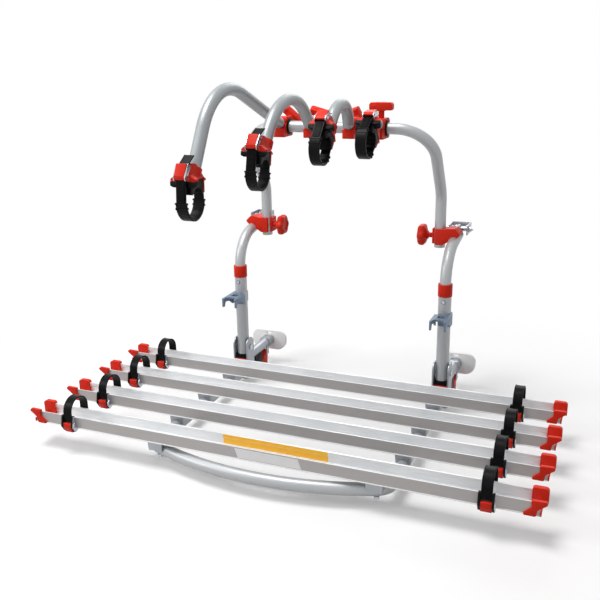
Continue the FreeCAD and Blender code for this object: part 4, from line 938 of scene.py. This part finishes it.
gripLook = dict(turn=dict(arm_1=0.0, arm_2=-8.0, arm_3=-38.0, arm_4=-55.0), pinOut=42.5, pinRise=9.0,
                bevels=dict(head=1.3, grip=1.2, lever=0.9), jawWidth=0.04,
                cheekFront=-28.6, cheekSides=(11.5, 15.2),
                width=24.0, thickness=3.5, radius=39.5, centreDrop=46.0, centreOut=6.0, strapTop=-6.5,
                rimShare=0.6, rimWidth=2.4, rimRise=0.6, bendSlack=0.3, bendStep=5.0, archStep=8.0,
                throat=(-37, 12, 20), crown=(-25, 34, 12), tailWay=(0.841, 0.541),
                tail=dict(arm_1=33, arm_2=33, arm_3=16, arm_4=16),
                sleeveTop=-42.0, sleeve=(27.0, 6.6, 1.4), sleeveRim=(29.6, 8.4, 1.2),
                arch=[(-18.5, -28, 0), (-11.5, -19.2, 5), (0, -16.2, 10), (11.5, -19.2, 5), (18.5, -28, 0)],
                archProud=0.3, toothLow=-40, toothHigh=10, toothStep=3, toothProud=1.5,
                ribs={"Spacing": 0.0034, "Rib": (0.032, 0.0022, 0.0016)},
                teeth={"Spacing": 0.0026, "Rib": (0.017, 0.0014, 0.0012)})


def gripPlace(arm):
    pivot = Vector(jointAt[arm + "_lever_turn"]) / mm
    turn = Matrix.Rotation(math.radians(gripLook["turn"][arm]), 4, "X")
    centre = pivot - turn @ Vector((0, -gripLook["pinOut"], gripLook["pinRise"]))
    return Matrix.Translation(centre) @ turn


def gripStrap(arm, place):
    # the strap from the jaw round the loop and through the lever, with its sleeve
    look = gripLook
    backY, frontY = look["radius"] - look["centreOut"], -look["radius"] - look["centreOut"]
    low = -look["centreDrop"] - look["radius"]
    turn = look["radius"] - look["bendSlack"]
    crownY, crownZ = look["crown"][:2]
    wayY, wayZ = look["tailWay"]
    tail = (crownY + wayY * look["tail"][arm], crownZ + wayZ * look["tail"][arm], 0)
    shape = bmesh.new()
    loop = cornered([(backY, look["strapTop"], 0), (backY, low, turn), (frontY, low, turn), look["throat"],
                     look["crown"], tail], look["bendStep"])
    flatPart = look["thickness"] - look["rimShare"]
    section = strapSection(look["width"], flatPart, look["rimWidth"], look["rimRise"])
    addBand(shape, loop, section, 0, place)
    sleeve = [p for p in loop if p.y < look["sleeveTop"]]
    addBand(shape, sleeve, flatSection(*look["sleeve"]), 0, place, material=1)
    for first in (0, 3, len(sleeve) - 5, len(sleeve) - 2):
        addBand(shape, sleeve[first:first + 2], flatSection(*look["sleeveRim"]), 0, place, material=1)
    drawn(arm + "Loop", shape, ["strapBlack", "sleeveBlack"], bodyOf[arm + "_grip"], "strap_plastic")


def gripRibs(arm, place):
    # ribs under the jaw's arch and teeth down the front of the strap
    look = gripLook
    body = bodyOf[arm + "_grip"]
    arch = cornered(look["arch"], look["archStep"])
    ribLine = [place @ Vector((0, p.x, p.y - look["archProud"])) for p in arch]
    frontY = -look["radius"] - look["centreOut"]
    throatY, throatZ = look["throat"][:2]
    slope = (throatY - frontY) / (throatZ + look["centreDrop"])
    levels = range(look["toothLow"], look["toothHigh"], look["toothStep"])
    teethLine = [place @ Vector((0, frontY + slope * (z + look["centreDrop"]) - look["toothProud"], z))
                 for z in levels]
    for name, line, values in (("JawRibs", ribLine, look["ribs"]), ("StrapTeeth", teethLine, look["teeth"])):
        made = grown(arm + name, lineMesh([line]), blackRibs, values)
        addPiece(arm + name, made, ["strapBlack"], body, "strap_plastic")


def grip(arm):
    look = gripLook
    place = gripPlace(arm)
    inverse = place.inverted()
    bevels = look["bevels"]
    near, far = look["cheekSides"]

    def paintHead(centre, normal):
        # the cheeks that hold the lever's pin are steel
        at = inverse @ centre
        return 1 if at.y < look["cheekFront"] and near < abs(at.x) < far else 0

    def isJaw(island):
        return max(vert.co.x for vert in island) - min(vert.co.x for vert in island) > look["jawWidth"]

    softened(arm + "_head", bevels["head"], ["redMoulded", "brightSteel"], paint=paintHead, segments=3)
    softened(arm + "_grip", bevels["grip"], ["blackMoulded"], segments=3, keep=isJaw, name=arm + "Jaw")
    softened(arm + "_lever", bevels["lever"], ["redMoulded"], segments=3)
    gripStrap(arm, place)
    gripRibs(arm, place)


for arm in armNames:
    grip(arm)
print("grips done")
